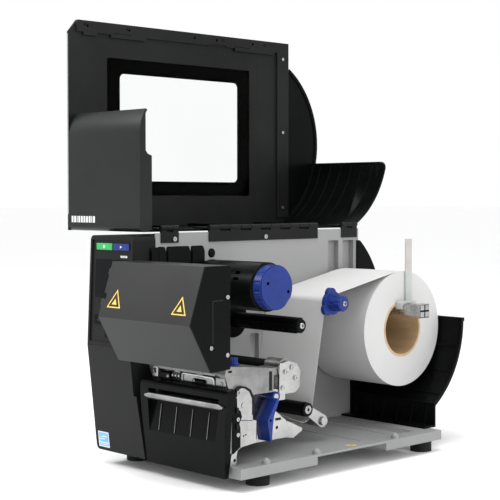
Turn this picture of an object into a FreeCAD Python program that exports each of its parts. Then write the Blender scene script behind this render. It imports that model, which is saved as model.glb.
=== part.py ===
import FreeCAD, Part
import math
import os

# Industrial thermal label printer, shown with its media cover swung fully open.
# Millimetres.  The working frame has x = 0 on the media-side face of the centre plate, +X towards the
# media side, y = 0 on the plate's front edge with -Y to the front, and z = 0 on the floor.
# Every solid is moved by (-ORIGIN_X, -ORIGIN_Y) when it is written, so that the finished part has its
# origin at the bottom centre of its box.

V = FreeCAD.Vector

# ---------------------------------------------------------------- driving dimensions
WALL = 3.0                     # moulded covers
SHEET = 2.5                    # centre plate

PAN_LEFT, PAN_RIGHT = -90.0, 185.6
PAN_FRONT, PAN_REAR = -16.0, 384.0
PAN_TOP, PAN_SKIRT_BOTTOM = 30.5, 17.0
FOOT_RADIUS = 15.5
FEET = [(162.0, 366.0), (157.0, 40.0), (-73.0, 27.0), (-73.0, 366.0)]
STUDS = [(179.7, 33.0), (179.7, 126.0), (179.7, 286.0)]

PLATE_REAR, PLATE_TOP = 410.0, 320.5
BODY_LEFT, BODY_TOP = -93.0, 317.0
BEZEL_TOP_Y, BEZEL_KINK, BEZEL_FOOT = -38.0, (-45.0, 166.0), (-29.0, 20.0)

HINGE_Z = 327.0
HINGE_SPANS = [(9.0, 40.0, 3), (96.0, 316.0, 11), (370.0, 405.0, 3)]   # y from, y to, knuckles
KNUCKLE_RADIUS, PIN_RADIUS, RUNNING_GAP = 3.5, 1.8, 0.05

COVER_OUT, COVER_IN = -172.0, -169.0       # side wall of the cover while it is open
COVER_INNER_EDGE = -8.0
COVER_FRONT, COVER_POST = -20.0, 422.0
COVER_LOW, COVER_HIGH = 322.0, 622.5
LINER_IN = -165.5                          # inner face of the stiffening strip and post
WINDOW_Y, WINDOW_Z = (73.0, 311.0), (393.0, 551.0)
PANE_Y, PANE_Z = (49.0, 336.0), (371.0, 573.0)
BULGE_CENTRE, BULGE_RADIUS = (344.0, 457.0), 149.0
BULGE_FROM, BULGE_TO = -65.0, -12.0        # degrees round the bulge

BUCKET_CENTRE, BUCKET_RADIUS, BUCKET_RIGHT = (316.0, 185.0), 148.0, 164.0
BUCKET_FOOT_Y, BUCKET_TOP_ANGLE = 398.0, 1.2

ROLL_CENTRE, ROLL_RADIUS = (371.0, 175.0), 85.0
CORE_OUT, CORE_IN = 41.5, 38.1             # a 76.2 mm bore core
ROLL_X = (7.0, 122.0)
LABEL_THICK, LABEL_GAP = 0.3, 0.35

GUIDE_ROD, GUIDE_RADIUS = (214.0, 222.0), 8.0
DAMPER_PIVOT, DAMPER_ROLLER = (197.0, 58.5), (165.0, 78.0)
DAMPER_RADIUS = 10.0
SLACK_CENTRE, SLACK_RADIUS = (163.0, 75.0), 14.7     # loose turn of the web round the damper roller
PLATEN, PLATEN_RADIUS, SHAFT_RADIUS = (8.0, 106.0), 10.0, 4.0
MOTOR, MOTOR_PULLEY_RADIUS, PLATEN_PULLEY_RADIUS = (62.0, 70.0), 8.0, 14.0
HEAD_PIVOT, BAR_RADIUS = (84.0, 148.0), 7.0
LEVER_PIVOT = (70.0, 110.0)
TAKEUP, TAKEUP_RADIUS = (89.0, 250.0), 33.0
SUPPLY, SUPPLY_RADIUS = (131.0, 197.0), 10.0

HEAD_X = (12.0, 161.5)
SIDE_PLATE_X = (162.0, 165.0)
REAR_WEB_X = (137.0, 140.0)

DOOR_REAR = -22.0
DOOR_FRONT = [(17.4, 18.0), (11.4, 86.0), (11.3, 118.0), ((14.2, 127.3), (23.0, 131.0)), (175.5, 131.0),
              ((179.9, 129.3), (181.8, 125.0)), (180.0, 110.0), (174.5, 88.0), (172.0, 48.0), (169.0, 18.0)]
DOOR_SLOT_X, DOOR_SLOT_Z = (28.0, 166.0), (113.2, 118.6)   # the way out for printed labels
VALIDATOR_X = (0.0, 182.0)
VALIDATOR_PROFILE = [(-31.0, 285.0), (-72.0, 285.0), (-96.0, 214.0), (-63.0, 155.0), (-31.0, 157.0)]

CHANNELS = [((341.0, 364.5), (120.0, 303.0), 9.0), ((374.0, 399.0), (196.0, 303.0), 9.0),
            ((176.0, 194.0), (108.0, 172.0), 8.0)]   # y, z and depth of the pressed channels
BACK_Y = (406.0, 409.0)                    # rear panel of the electronics bay
DISPLAY_X, DISPLAY_Z = (-82.0, -11.0), (232.0, 285.0)
BUTTON_PLACES = {"green_button": ((-80.0, -46.0), (297.5, 306.5)),
                 "blue_button": ((-43.0, -9.0), (297.5, 306.5)),
                 "key_left": ((-80.0, -62.0), (196.0, 208.0)),
                 "key_right": ((-29.0, -11.0), (196.0, 208.0)),
                 "key_up": ((-56.0, -35.0), (214.0, 225.0)),
                 "key_down": ((-56.0, -35.0), (179.0, 190.0))}
INLET_X, INLET_Z = (-76.0, -44.0), (48.0, 74.0)
SWITCH_X, SWITCH_Z = (-72.0, -48.0), (89.0, 111.0)
NETWORK_X, NETWORK_Z = (-36.0, -18.0), (130.0, 147.0)
USB_X, USB_Z = (-36.0, -18.0), (155.0, 171.0)
SERIAL_X, SERIAL_Z = (-40.0, -14.0), (180.0, 195.0)
CONNECTOR_CUTS = [(INLET_X, INLET_Z), (SWITCH_X, SWITCH_Z), (NETWORK_X, NETWORK_Z),
                  (USB_X, USB_Z), (SERIAL_X, SERIAL_Z)]
SWITCH_CENTRE = (-60.0, 100.0)
SWITCH_TILT = 8.0

ORIGIN_X = (PAN_RIGHT + COVER_OUT) / 2
ORIGIN_Y = (VALIDATOR_PROFILE[2][0] + BULGE_CENTRE[0] + BULGE_RADIUS) / 2


# ---------------------------------------------------------------- building blocks
def box(x, y, z):
    return Part.makeBox(x[1] - x[0], y[1] - y[0], z[1] - z[0], V(x[0], y[0], z[0]))


def rod_x(x, centre, radius):
    return Part.makeCylinder(radius, x[1] - x[0], V(x[0], centre[0], centre[1]), V(1, 0, 0))


def rod_y(y, centre, radius):
    return Part.makeCylinder(radius, y[1] - y[0], V(centre[0], y[0], centre[1]), V(0, 1, 0))


def rod_z(z, centre, radius):
    return Part.makeCylinder(radius, z[1] - z[0], V(centre[0], centre[1], z[0]), V(0, 0, 1))


def tube_x(x, centre, outer, inner):
    return rod_x(x, centre, outer).cut(rod_x((x[0] - 1, x[1] + 1), centre, inner))


def join(shapes):
    first, rest = shapes[0], shapes[1:]
    return first.fuse(rest).removeSplitter() if rest else first


def outline(steps, to_point):
    """Closed wire.  A step is a point, or a (middle, end) pair for an arc; the first step is a point."""
    here = steps[0]
    edges = []
    for step in list(steps[1:]) + [steps[0]]:
        if isinstance(step[0], tuple):
            middle, end = step
            edges.append(Part.Arc(to_point(here), to_point(middle), to_point(end)).toShape())
        else:
            end = step
            if to_point(here).distanceToPoint(to_point(end)) > 1e-6:
                edges.append(Part.LineSegment(to_point(here), to_point(end)).toShape())
        here = end
    return Part.Face(Part.Wire(edges))


def prism_x(steps, x):
    return outline(steps, lambda p: V(x[0], p[0], p[1])).extrude(V(x[1] - x[0], 0, 0))


def prism_y(steps, y):
    return outline(steps, lambda p: V(p[0], y[0], p[1])).extrude(V(0, y[1] - y[0], 0))


def rounded(a, b, radius):
    """Steps of a rounded rectangle from a[0] to a[1] across and b[0] to b[1] up."""
    bend = radius * (1 - math.sqrt(0.5))
    return [(a[0] + radius, b[0]), (a[1] - radius, b[0]),
            ((a[1] - bend, b[0] + bend), (a[1], b[0] + radius)), (a[1], b[1] - radius),
            ((a[1] - bend, b[1] - bend), (a[1] - radius, b[1])), (a[0] + radius, b[1]),
            ((a[0] + bend, b[1] - bend), (a[0], b[1] - radius)), (a[0], b[0] + radius),
            ((a[0] + bend, b[0] + bend), (a[0] + radius, b[0]))]


def on_circle(centre, radius, degrees):
    angle = math.radians(degrees)
    return (centre[0] + radius * math.cos(angle), centre[1] + radius * math.sin(angle))


def band_x(x, centre, outer, inner, start, stop):
    """Part of a ring about X, between two angles measured from +Y towards +Z."""
    middle = (start + stop) / 2
    steps = [on_circle(centre, outer, start),
             (on_circle(centre, outer, middle), on_circle(centre, outer, stop)),
             on_circle(centre, inner, stop),
             (on_circle(centre, inner, middle), on_circle(centre, inner, start))]
    return prism_x(steps, x)


def screw_x(x, centre, radius, outward=1):
    """Pan head on a face normal to X, with a cross recess; x is the face it sits on."""
    high = radius * 0.55 * outward
    head = rod_x(sorted((x, x + high)), centre, radius)
    top = x + high
    for wide, tall in ((radius * 1.2, radius * 0.3), (radius * 0.3, radius * 1.2)):
        depth = sorted((top - high * 0.5, top + outward))
        head = head.cut(box(depth, (centre[0] - wide / 2, centre[0] + wide / 2),
                            (centre[1] - tall / 2, centre[1] + tall / 2)))
    return head


def loop_x(x, first, first_radius, second, second_radius):
    """Solid that wraps two parallel round bars, as a tight belt does."""
    run, rise = second[0] - first[0], second[1] - first[1]
    length = math.hypot(run, rise)
    heading = math.degrees(math.atan2(rise, run))
    lean = math.degrees(math.acos((first_radius - second_radius) / length))
    steps = [on_circle(first, first_radius, heading + lean),
             (on_circle(first, first_radius, heading + 180), on_circle(first, first_radius, heading - lean)),
             on_circle(second, second_radius, heading - lean),
             (on_circle(second, second_radius, heading), on_circle(second, second_radius, heading + lean))]
    return prism_x(steps, x)


# ---------------------------------------------------------------- base and plate
def base_pan():
    skin = PAN_TOP - WALL
    pieces = [box((PAN_LEFT, PAN_RIGHT), (0.5, PAN_REAR), (skin, PAN_TOP)),
              box((15.0, PAN_RIGHT), (PAN_FRONT, 0.5), (skin, PAN_TOP)),
              box((15.0, PAN_RIGHT), (PAN_FRONT, PAN_FRONT + WALL), (PAN_SKIRT_BOTTOM, skin)),
              box((0.0, PAN_RIGHT), (PAN_REAR - WALL, PAN_REAR), (PAN_SKIRT_BOTTOM, skin))]
    for span in ((PAN_FRONT, 122.0), (261.0, PAN_REAR)):
        pieces.append(box((PAN_RIGHT - WALL, PAN_RIGHT), span, (PAN_SKIRT_BOTTOM, skin)))
    for x, y in FEET:
        pieces.append(box((x - 18, x + 18), (y - 18, y + 18), (PAN_SKIRT_BOTTOM, skin)))
    for y in (322.0, 331.0, 345.0):
        pieces.append(box((20.0, 164.0), (y, y + 2.0), (PAN_TOP, PAN_TOP + 1.2)))
    for x, y in STUDS:
        pieces.append(rod_z((PAN_TOP, PAN_TOP + 4.5), (x, y), 5.5))
        pieces.append(Part.makeSphere(4.6, V(x, y, PAN_TOP + 3.0)))
    pan = join(pieces)
    return pan.cut(box((59.0, 163.0), (335.0, 342.0), (skin - 1, PAN_TOP + 2)))


def rubber_feet():
    feet = []
    for centre in FEET:
        foot = rod_z((0.0, PAN_SKIRT_BOTTOM), centre, FOOT_RADIUS)
        groove = rod_z((9.0, 11.0), centre, FOOT_RADIUS + 1).cut(rod_z((9.0, 11.0), centre,
                                                                       FOOT_RADIUS - 1.2))
        feet.append(foot.cut(groove))
    return Part.makeCompound(feet)


def centre_plate():
    """Upright sheet between the media side and the electronics, with three pressed channels."""
    sheet = prism_x([(0.5, PAN_TOP), (392.0, PAN_TOP), (392.0, 150.0), (PLATE_REAR, 190.0),
                     (PLATE_REAR, PLATE_TOP), (0.5, PLATE_TOP)], (-SHEET, 0.0))
    flange = box((-24.0, -SHEET), (10.0, 385.0), (PAN_TOP, PAN_TOP + SHEET))
    pieces, hollows = [sheet, flange], []
    for y, z, deep in CHANNELS:
        pieces.append(prism_x(rounded((y[0] - 1.5, y[1] + 1.5), (z[0] - 1.5, z[1] + 1.5), 3.5),
                              (-deep - 1.5, -1.0)))
        hollows.append(prism_x(rounded(y, z, 2.0), (-deep, 1.0)))
    plate = join(pieces)
    for hollow in hollows:
        plate = plate.cut(hollow)
    through = (-SHEET - 1, 1.0)
    for y in ((3.0, 16.5), (19.0, 60.0), (63.0, 86.0)):
        plate = plate.cut(prism_x(rounded(y, (264.0, 302.0), 2.5), through))
    plate = plate.cut(rod_x(through, (101.5, 291.0), 6.5))
    for centre, radius in ((PLATEN, 5.5), (TAKEUP, 6.5), (SUPPLY, 5.5)):
        plate = plate.cut(rod_x(through, centre, radius))
    return plate


# ---------------------------------------------------------------- front of the electronics bay
def bezel_face(z):
    """Y of the slanted front face at height z."""
    (low_y, low_z), (kink_y, kink_z) = BEZEL_FOOT, BEZEL_KINK
    if z > kink_z:
        return kink_y + (BEZEL_TOP_Y - kink_y) * (z - kink_z) / (BODY_TOP - kink_z)
    return low_y + (kink_y - low_y) * (z - low_z) / (kink_z - low_z)


def bezel_profile(inset, rear):
    top, low = BODY_TOP - inset, BEZEL_FOOT[1] + inset
    return [(bezel_face(top) + inset, top), (BEZEL_KINK[0] + inset, BEZEL_KINK[1]),
            (bezel_face(low) + inset, low), (rear, low), (rear, top)]


def front_bezel():
    wide = (BODY_LEFT, 0.0)
    outer = prism_x(bezel_profile(0.0, 0.0), wide)
    outer = outer.common(prism_y(rounded(wide, (BEZEL_FOOT[1], BODY_TOP), 7.0), (-60.0, 5.0)))
    inside = prism_x(bezel_profile(5.0, 5.0), (BODY_LEFT + WALL, -WALL))
    shell = outer.cut(inside)
    lip_skin = prism_x(bezel_profile(0.0, -20.0), (-0.5, 14.0)).cut(prism_x(bezel_profile(WALL, -15.0),
                                                                            (-1.0, 15.0)))
    lip = lip_skin.common(prism_y([(-0.5, 20.0), (12.6, 20.0), (5.5, 104.0), (-0.5, 104.0)], (-60.0, -10.0)))
    shell = join([shell, lip])
    recess_z = (172.0, 311.0)
    floor = 2.0
    recess = prism_x([(-60.0, recess_z[0]), (bezel_face(recess_z[0]) + floor, recess_z[0]),
                      (bezel_face(recess_z[1]) + floor, recess_z[1]), (-60.0, recess_z[1])], (-89.0, -3.5))
    shell = shell.cut(recess)
    for x, z in BUTTON_PLACES.values():
        hole = prism_y(rounded((x[0] - 0.3, x[1] + 0.3), (z[0] - 0.3, z[1] + 0.3), 1.2), (-60.0, -20.0))
        shell = shell.cut(hole)
    return shell.cut(prism_y(rounded((DISPLAY_X[0], DISPLAY_X[1]), DISPLAY_Z, 2.0), (-60.0, -20.0)))


def front_key(name):
    """Push button: its cap stands in the recess, and a wider foot behind the panel keeps it in."""
    x, z = BUTTON_PLACES[name]
    middle = (z[0] + z[1]) / 2
    face = bezel_face(middle) + 0.6
    cap = prism_y(rounded(x, z, 1.0), (face, face + 6.5))
    foot = prism_y(rounded((x[0] - 1.0, x[1] + 1.0), (z[0] - 1.0, z[1] + 1.0), 1.5),
                   (face + 6.5, face + 8.0))
    return join([cap, foot])


def display_window():
    low, high = DISPLAY_Z[0] + 0.3, DISPLAY_Z[1] - 0.3
    front = 2.2
    glass = prism_x([(bezel_face(low) + front, low), (bezel_face(low) + 5.0, low),
                     (bezel_face(high) + 5.0, high), (bezel_face(high) + front, high)],
                    (DISPLAY_X[0] + 0.3, DISPLAY_X[1] - 0.3))
    shape = prism_y(rounded((DISPLAY_X[0] + 0.3, DISPLAY_X[1] - 0.3), (low, high), 2.0), (-60.0, -20.0))
    return glass.common(shape)


def electronics_cover():
    """Sheet cover over the left side and top, with louvres low and high in its side."""
    thick = 1.5
    outer = prism_y(rounded((BODY_LEFT, 60.0), (-40.0, BODY_TOP), 6.0), (0.0, 410.0))
    inner = prism_y(rounded((BODY_LEFT + thick, 61.0), (-41.0, BODY_TOP - thick), 4.5), (-1.0, 411.0))
    cover = outer.cut(inner).common(box((BODY_LEFT - 1, -SHEET), (0.0, 410.0), (PAN_SKIRT_BOTTOM, BODY_TOP)))
    for row, high in ((60.0, 12), (225.0, 12)):
        for i in range(high):
            y = 60.0 + 26.0 * i
            cover = cover.cut(prism_x(rounded((y, y + 4.0), (row, row + 44.0), 1.9),
                                      (BODY_LEFT - 1, BODY_LEFT + thick + 1)))
    return cover


# ---------------------------------------------------------------- electronics
def rear_panel():
    panel = prism_y(rounded((BODY_LEFT + 1.5, 60.0), (-40.0, BODY_TOP - 1.5), 4.5), BACK_Y)
    panel = panel.common(box((BODY_LEFT, -SHEET), BACK_Y, (PAN_TOP, BODY_TOP)))
    hole = (BACK_Y[0] - 1, BACK_Y[1] + 1)
    for x, z in CONNECTOR_CUTS:
        panel = panel.cut(prism_y(rounded(x, z, 1.0), hole))
    for i in range(6):
        for j in range(5):
            panel = panel.cut(rod_y(hole, (-62.0 + 9.0 * i, 250.0 + 9.0 * j), 3.0))
    return panel


def socket(x, z, wall, deep):
    """Box-shaped socket that fills its cut-out and opens to the rear."""
    front = BACK_Y[1] + 1.0
    outer = prism_y(rounded((x[0] + 0.1, x[1] - 0.1), (z[0] + 0.1, z[1] - 0.1), 0.9),
                    (front - deep - 3.0, front))
    pocket = box((x[0] + wall, x[1] - wall), (front - deep, front + 1), (z[0] + wall, z[1] - wall))
    return outer.cut(pocket)


def rear_connectors():
    """Mains inlet with its pins, network and host sockets, and a serial plug shell."""
    inlet = socket(INLET_X, INLET_Z, 3.0, 17.0)
    middle_x, middle_z = sum(INLET_X) / 2, sum(INLET_Z) / 2
    pins = [box((middle_x + dx - 1.0, middle_x + dx + 1.0), (BACK_Y[1] - 16.5, BACK_Y[1] - 4.0),
                (middle_z + dz - 2.0, middle_z + dz + 2.0)) for dx, dz in ((-7.0, -5.0), (0.0, -1.0),
                                                                           (7.0, -5.0))]
    serial = join([prism_y(rounded((SERIAL_X[0] + 0.1, SERIAL_X[1] - 0.1),
                                   (SERIAL_Z[0] + 0.1, SERIAL_Z[1] - 0.1), 2.0),
                           (BACK_Y[0] - 6.0, BACK_Y[1] + 1.0)),
                   prism_y(rounded((SERIAL_X[0] + 4.0, SERIAL_X[1] - 4.0),
                                   (SERIAL_Z[0] + 3.0, SERIAL_Z[1] - 3.0), 3.0),
                           (BACK_Y[1] + 1.0, BACK_Y[1] + 6.0))])
    return Part.makeCompound([join([inlet] + pins), socket(NETWORK_X, NETWORK_Z, 2.0, 12.0),
                              socket(USB_X, USB_Z, 2.5, 12.0), serial, switch_housing()])


def switch_housing():
    """Frame of the mains switch: a ring in the rear panel with trunnion holes for the rocker."""
    front = BACK_Y[1] + 1.5
    ring = prism_y(rounded((SWITCH_X[0] + 0.1, SWITCH_X[1] - 0.1), (SWITCH_Z[0] + 0.1, SWITCH_Z[1] - 0.1),
                           0.9),
                   (front - 16.0, front))
    ring = ring.cut(box((SWITCH_X[0] + 2.0, SWITCH_X[1] - 2.0), (front - 13.0, front + 1),
                        (SWITCH_Z[0] + 2.0, SWITCH_Z[1] - 2.0)))
    return ring.cut(rod_x((SWITCH_X[0] + 0.8, SWITCH_X[1] - 0.8), (BACK_Y[1] - 3.0, SWITCH_CENTRE[1]),
                          1.6 + RUNNING_GAP))


def power_switch():
    """Rocker that turns about X; it rests tilted, with its lower half pressed in."""
    x = (SWITCH_X[0] + 2.4, SWITCH_X[1] - 2.4)
    pivot = (BACK_Y[1] - 3.0, SWITCH_CENTRE[1])
    half = 8.2
    body = prism_x([(pivot[0] - 3.0, pivot[1] - 5.0), (pivot[0] + 4.5, pivot[1] - half),
                    ((pivot[0] + 3.2, pivot[1]), (pivot[0] + 4.5, pivot[1] + half)), (pivot[0] - 3.0,
                                                                                      pivot[1] + 5.0)], x)
    axle = rod_x((SWITCH_X[0] + 1.0, SWITCH_X[1] - 1.0), pivot, 1.6)
    rocker = join([body, axle])
    rocker.rotate(V(0, pivot[0], pivot[1]), V(1, 0, 0), SWITCH_TILT)
    return rocker


def power_supply():
    case = box((-84.0, -30.0), (235.0, 385.0), (PAN_TOP, 112.0))
    for i in range(10):
        y = 250.0 + 13.0 * i
        case = case.cut(prism_x(rounded((y, y + 5.0), (50.0, 95.0), 2.4), (-31.5, -29.0)))
    terminal = box((-80.0, -40.0), (385.0, 389.0), (PAN_TOP + 6, PAN_TOP + 22))
    return join([case, terminal])


def controller_board():
    """Main board on four pillars from the centre plate, with its chips and plugs."""
    board = box((-24.0, -22.4), (180.0, 345.0), (125.0, 300.0))
    pillars = [rod_x((-22.4, -SHEET), (y, z), 3.0) for y in (202.0, 333.0) for z in (135.0, 290.0)]
    chips = [box((-27.0, -24.0), (y, y + a), (z, z + b)) for y, z, a, b in
             ((200, 150, 32, 32), (250, 150, 18, 24), (280, 148, 24, 12), (205, 205, 20, 14),
              (240, 200, 14, 14), (270, 190, 40, 10), (200, 250, 60, 8), (285, 230, 30, 30))]
    plugs = [box((-36.0, -24.0), (y, y + 14.0), (278.0, 294.0)) for y in (200.0, 222.0, 244.0, 290.0)]
    return join([board] + pillars + chips + plugs)


def platen_motor():
    """Stepper motor on a plate that four pillars hold off the centre plate."""
    y, z = MOTOR
    plate = prism_x(rounded((y - 42, y + 40), (z - 38, z + 42), 4.0), (-30.0, -27.0))
    plate = plate.cut(rod_x((-31.0, -26.0), MOTOR, 9.5))
    pillars = [rod_x((-27.0, -SHEET), c, 4.0) for c in ((y + 34, z + 36), (y - 36, z - 32), (y + 34, z - 32),
                                                        (y - 2, z + 36))]
    can = prism_x(rounded((y - 28, y + 28), (z - 28, z + 28), 5.0), (-80.0, -30.0))
    can = can.cut(rod_x((-62.0, -29.0), MOTOR, 3.0 + RUNNING_GAP))
    return join([plate, can] + pillars)


def motor_pulley():
    y, z = MOTOR
    shaft = rod_x((-60.0, -9.0), MOTOR, 3.0)
    wheel = rod_x((-25.5, -13.5), MOTOR, MOTOR_PULLEY_RADIUS)
    for i in range(14):
        wheel = wheel.cut(rod_x((-26.0, -13.0), on_circle(MOTOR, MOTOR_PULLEY_RADIUS + 0.2, i * 360 / 14),
                                0.8))
    flange = rod_x((-13.5, -12.3), MOTOR, MOTOR_PULLEY_RADIUS + 2.5)
    return join([shaft, wheel, flange])


def platen_shaft():
    """Steel shaft with its driven pulley on the electronics side."""
    shaft = rod_x((-28.0, 166.0), PLATEN, SHAFT_RADIUS)
    wheel = rod_x((-25.5, -13.5), PLATEN, PLATEN_PULLEY_RADIUS)
    for i in range(24):
        wheel = wheel.cut(rod_x((-26.0, -13.0), on_circle(PLATEN, PLATEN_PULLEY_RADIUS + 0.2, i * 15), 0.8))
    flange = rod_x((-26.5, -25.5), PLATEN, PLATEN_PULLEY_RADIUS + 2.5)
    return join([shaft, wheel, flange])


def platen_roller():
    """Rubber roller that the labels and the print head press on."""
    return tube_x((8.0, 147.0), PLATEN, PLATEN_RADIUS, SHAFT_RADIUS)


def drive_belt():
    gap, thick, x = 0.3, 1.6, (-25.2, -13.9)
    outer = loop_x(x, PLATEN, PLATEN_PULLEY_RADIUS + gap + thick, MOTOR, MOTOR_PULLEY_RADIUS + gap + thick)
    return outer.cut(loop_x((x[0] - 1, x[1] + 1), PLATEN, PLATEN_PULLEY_RADIUS + gap, MOTOR,
                            MOTOR_PULLEY_RADIUS + gap))


def ribbon_drives():
    """Gear motor behind the take-up spindle and the drag brake behind the supply spindle."""
    y, z = TAKEUP
    flange = prism_x(rounded((y - 25, y + 25), (z - 25, z + 25), 6.0), (-7.0, -SHEET))
    motor = join([flange, rod_x((-66.0, -7.0), TAKEUP, 18.0), rod_x((-74.0, -66.0), TAKEUP, 7.0)])
    motor = motor.cut(rod_x((-20.0, -1.0), TAKEUP, 5.0 + RUNNING_GAP))
    brake = join([rod_x((-5.5, -SHEET), SUPPLY, 22.0), rod_x((-21.5, -5.5), SUPPLY, 15.0)])
    brake = brake.cut(rod_x((-20.0, -1.0), SUPPLY, SHAFT_RADIUS + RUNNING_GAP))
    return Part.makeCompound([motor, brake])


# ---------------------------------------------------------------- lower front door
def door_face(z):
    """Y of the door's front at height z: it leans out to the tear bar, then stands upright."""
    return -29.0 - 7.0 * min(1.0, (z - 18.0) / 97.0)


def front_door():
    """Moulded front with the label slot, and below it a scoop that fades out downwards, with ribs in it."""
    low, high = 18.0, 131.0
    across = (0.0, 190.0)
    profile = [(DOOR_REAR, low), (door_face(low), low), (door_face(115.0), 115.0), (-36.0, 123.0),
               ((-35.0, 127.2), (-31.5, 129.2)), (DOOR_REAR, high)]
    hollow = [(DOOR_REAR + 1, low + WALL), (door_face(low) + 5.0, low + WALL), (-28.2, 60.0), (-23.7, 62.0),
              (-23.7, 110.0), (-31.0, 121.0), (-31.0, 126.0), (DOOR_REAR + 1, high - WALL)]
    shape = prism_y(DOOR_FRONT, (-50.0, 0.0))
    inner = prism_y([(20.5, low + WALL), (14.5, 86.0), (14.5, 117.0), (24.0, 127.5), (177.0, 127.5), (176.0, 110.0),
                     (171.0, 88.0),
                     (169.0, 48.0), (166.0, low + WALL)], (-50.0, 0.0))
    door = prism_x(profile, across).common(shape).cut(prism_x(hollow, across).common(inner))
    scoop_z = (62.0, 104.0)
    floor_low, floor_high = door_face(scoop_z[0]) + 0.3, -25.7

    def floor(z):
        return floor_low + (floor_high - floor_low) * (z - scoop_z[0]) / (scoop_z[1] - scoop_z[0])

    mouth = prism_y([(26.0, scoop_z[0]), (155.5, scoop_z[0]), (166.0, scoop_z[1]), (26.0, scoop_z[1])],
                    (-60.0, 0.0))
    scoop = prism_x([(-60.0, scoop_z[0]), (floor(scoop_z[0]), scoop_z[0]), (floor(scoop_z[1]), scoop_z[1]),
                     (-60.0, scoop_z[1])], across)
    door = door.cut(scoop.common(mouth))
    ribs = [prism_x([(floor(64.0) - 0.9, 64.0), (floor(98.0) - 1.1, 98.0), (floor(98.0) + 0.5, 98.0),
                     (floor(64.0) + 0.5, 64.0)], (x, x + 1.2)) for x in (44.7, 76.0, 107.3, 139.0)]
    door = join([door] + ribs)
    return door.cut(prism_y(rounded(DOOR_SLOT_X, DOOR_SLOT_Z, 2.0), (-60.0, 0.0)))


def tear_bar():
    """Steel bar under the label slot, with pointed ends."""
    low, high = 105.6, 112.4
    lower, upper = door_face(low), door_face(high)
    bar = prism_x([(lower, low), (lower - 2.0, low), (lower - 3.6, low + 1.6), (upper - 3.6, high - 1.2),
                   (upper - 2.6, high), (upper, high)], (24.2, 175.2))
    for x, inwards in ((24.2, 1), (175.2, -1)):
        for z, side in ((low, 1), (high, -1)):
            bar = bar.cut(prism_y([(x, z - side), (x + 9.0 * inwards, z - side), (x + 7.0 * inwards, z),
                                   (x, z + 2.2 * side), (x - inwards, z + 2.2 * side), (x - inwards,
                                                                                        z - side)],
                                  (-50.0, -30.0)))
    return bar.cut(front_door())


# ---------------------------------------------------------------- label path
def hanger_arm():
    """Bar that carries the roll's core by its top, with a clamped end block."""
    y, z = ROLL_CENTRE
    crown = CORE_IN - LABEL_GAP
    half = 13.0
    top = z + math.sqrt(crown ** 2 - half ** 2)
    bar = prism_x([(y - half, z + 22.0), (y + half, z + 22.0), (y + half, top),
                   ((y, z + crown), (y - half, top))], (0.0, 146.0))
    foot = prism_x(rounded((y - 20, y + 20), (z + 14.0, z + 42.0), 4.0), (0.0, 3.5))
    end = prism_x(rounded((y - 4, y + 18), (z + 17.0, z + 38.0), 2.0), (146.0, 158.0))
    arm = join([bar, foot, end])
    for dy in (2.0, 12.0):
        for dz in (22.5, 32.5):
            arm = arm.cut(rod_x((155.0, 159.0), (y + dy, z + dz), 2.4))
    return arm


def hanger_guide():
    """Clamp that slides along the hanger and carries the upright roll guide."""
    y, z = ROLL_CENTRE
    x = (122.6, 134.0)
    block = prism_x([(y - 16.0, z + 30.0), (y + 6.0, z + 30.0), (y + 6.0, z + 19.0), (y + 18.0, z + 19.0),
                     (y + 18.0, z + 39.0), (y + 16.0, z + 41.5), (y - 14.0, z + 41.5), (y - 16.0,
                                                                                        z + 39.5)], x)
    crown = CORE_IN - LABEL_GAP + 0.3
    half = 13.3
    top = z + math.sqrt(crown ** 2 - half ** 2)
    bore = prism_x([(y - half, z + 21.7), (y + half, z + 21.7), (y + half, top),
                    ((y, z + crown), (y - half, top))], (x[0] - 1, x[1] + 1))
    flag = prism_x(rounded((y + 4.5, y + 17.5), (z + 40.0, z + 133.0), 1.5), (x[0], x[0] + 3.0))
    return join([block, flag]).cut(bore)


def label_roll():
    return tube_x(ROLL_X, ROLL_CENTRE, ROLL_RADIUS, CORE_OUT)


def roll_core():
    return tube_x((ROLL_X[0] - 0.5, ROLL_X[1] + 0.3), ROLL_CENTRE, CORE_OUT, CORE_IN)


def tangent(first, first_radius, second, second_radius):
    """Ends of the line that leaves one circle and meets the next, a positive radius turning the line
    clockwise about the centre as y grows to the right and z grows upwards."""
    run, rise = second[0] - first[0], second[1] - first[1]
    length = math.hypot(run, rise)
    heading = math.atan2(rise, run)
    lean = math.asin((second_radius - first_radius) / length)
    side = heading + math.pi / 2 + lean
    normal = (math.cos(side), math.sin(side))
    return tuple((c[0] + r * normal[0], c[1] + r * normal[1])
                 for c, r in ((first, first_radius), (second, second_radius)))


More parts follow.
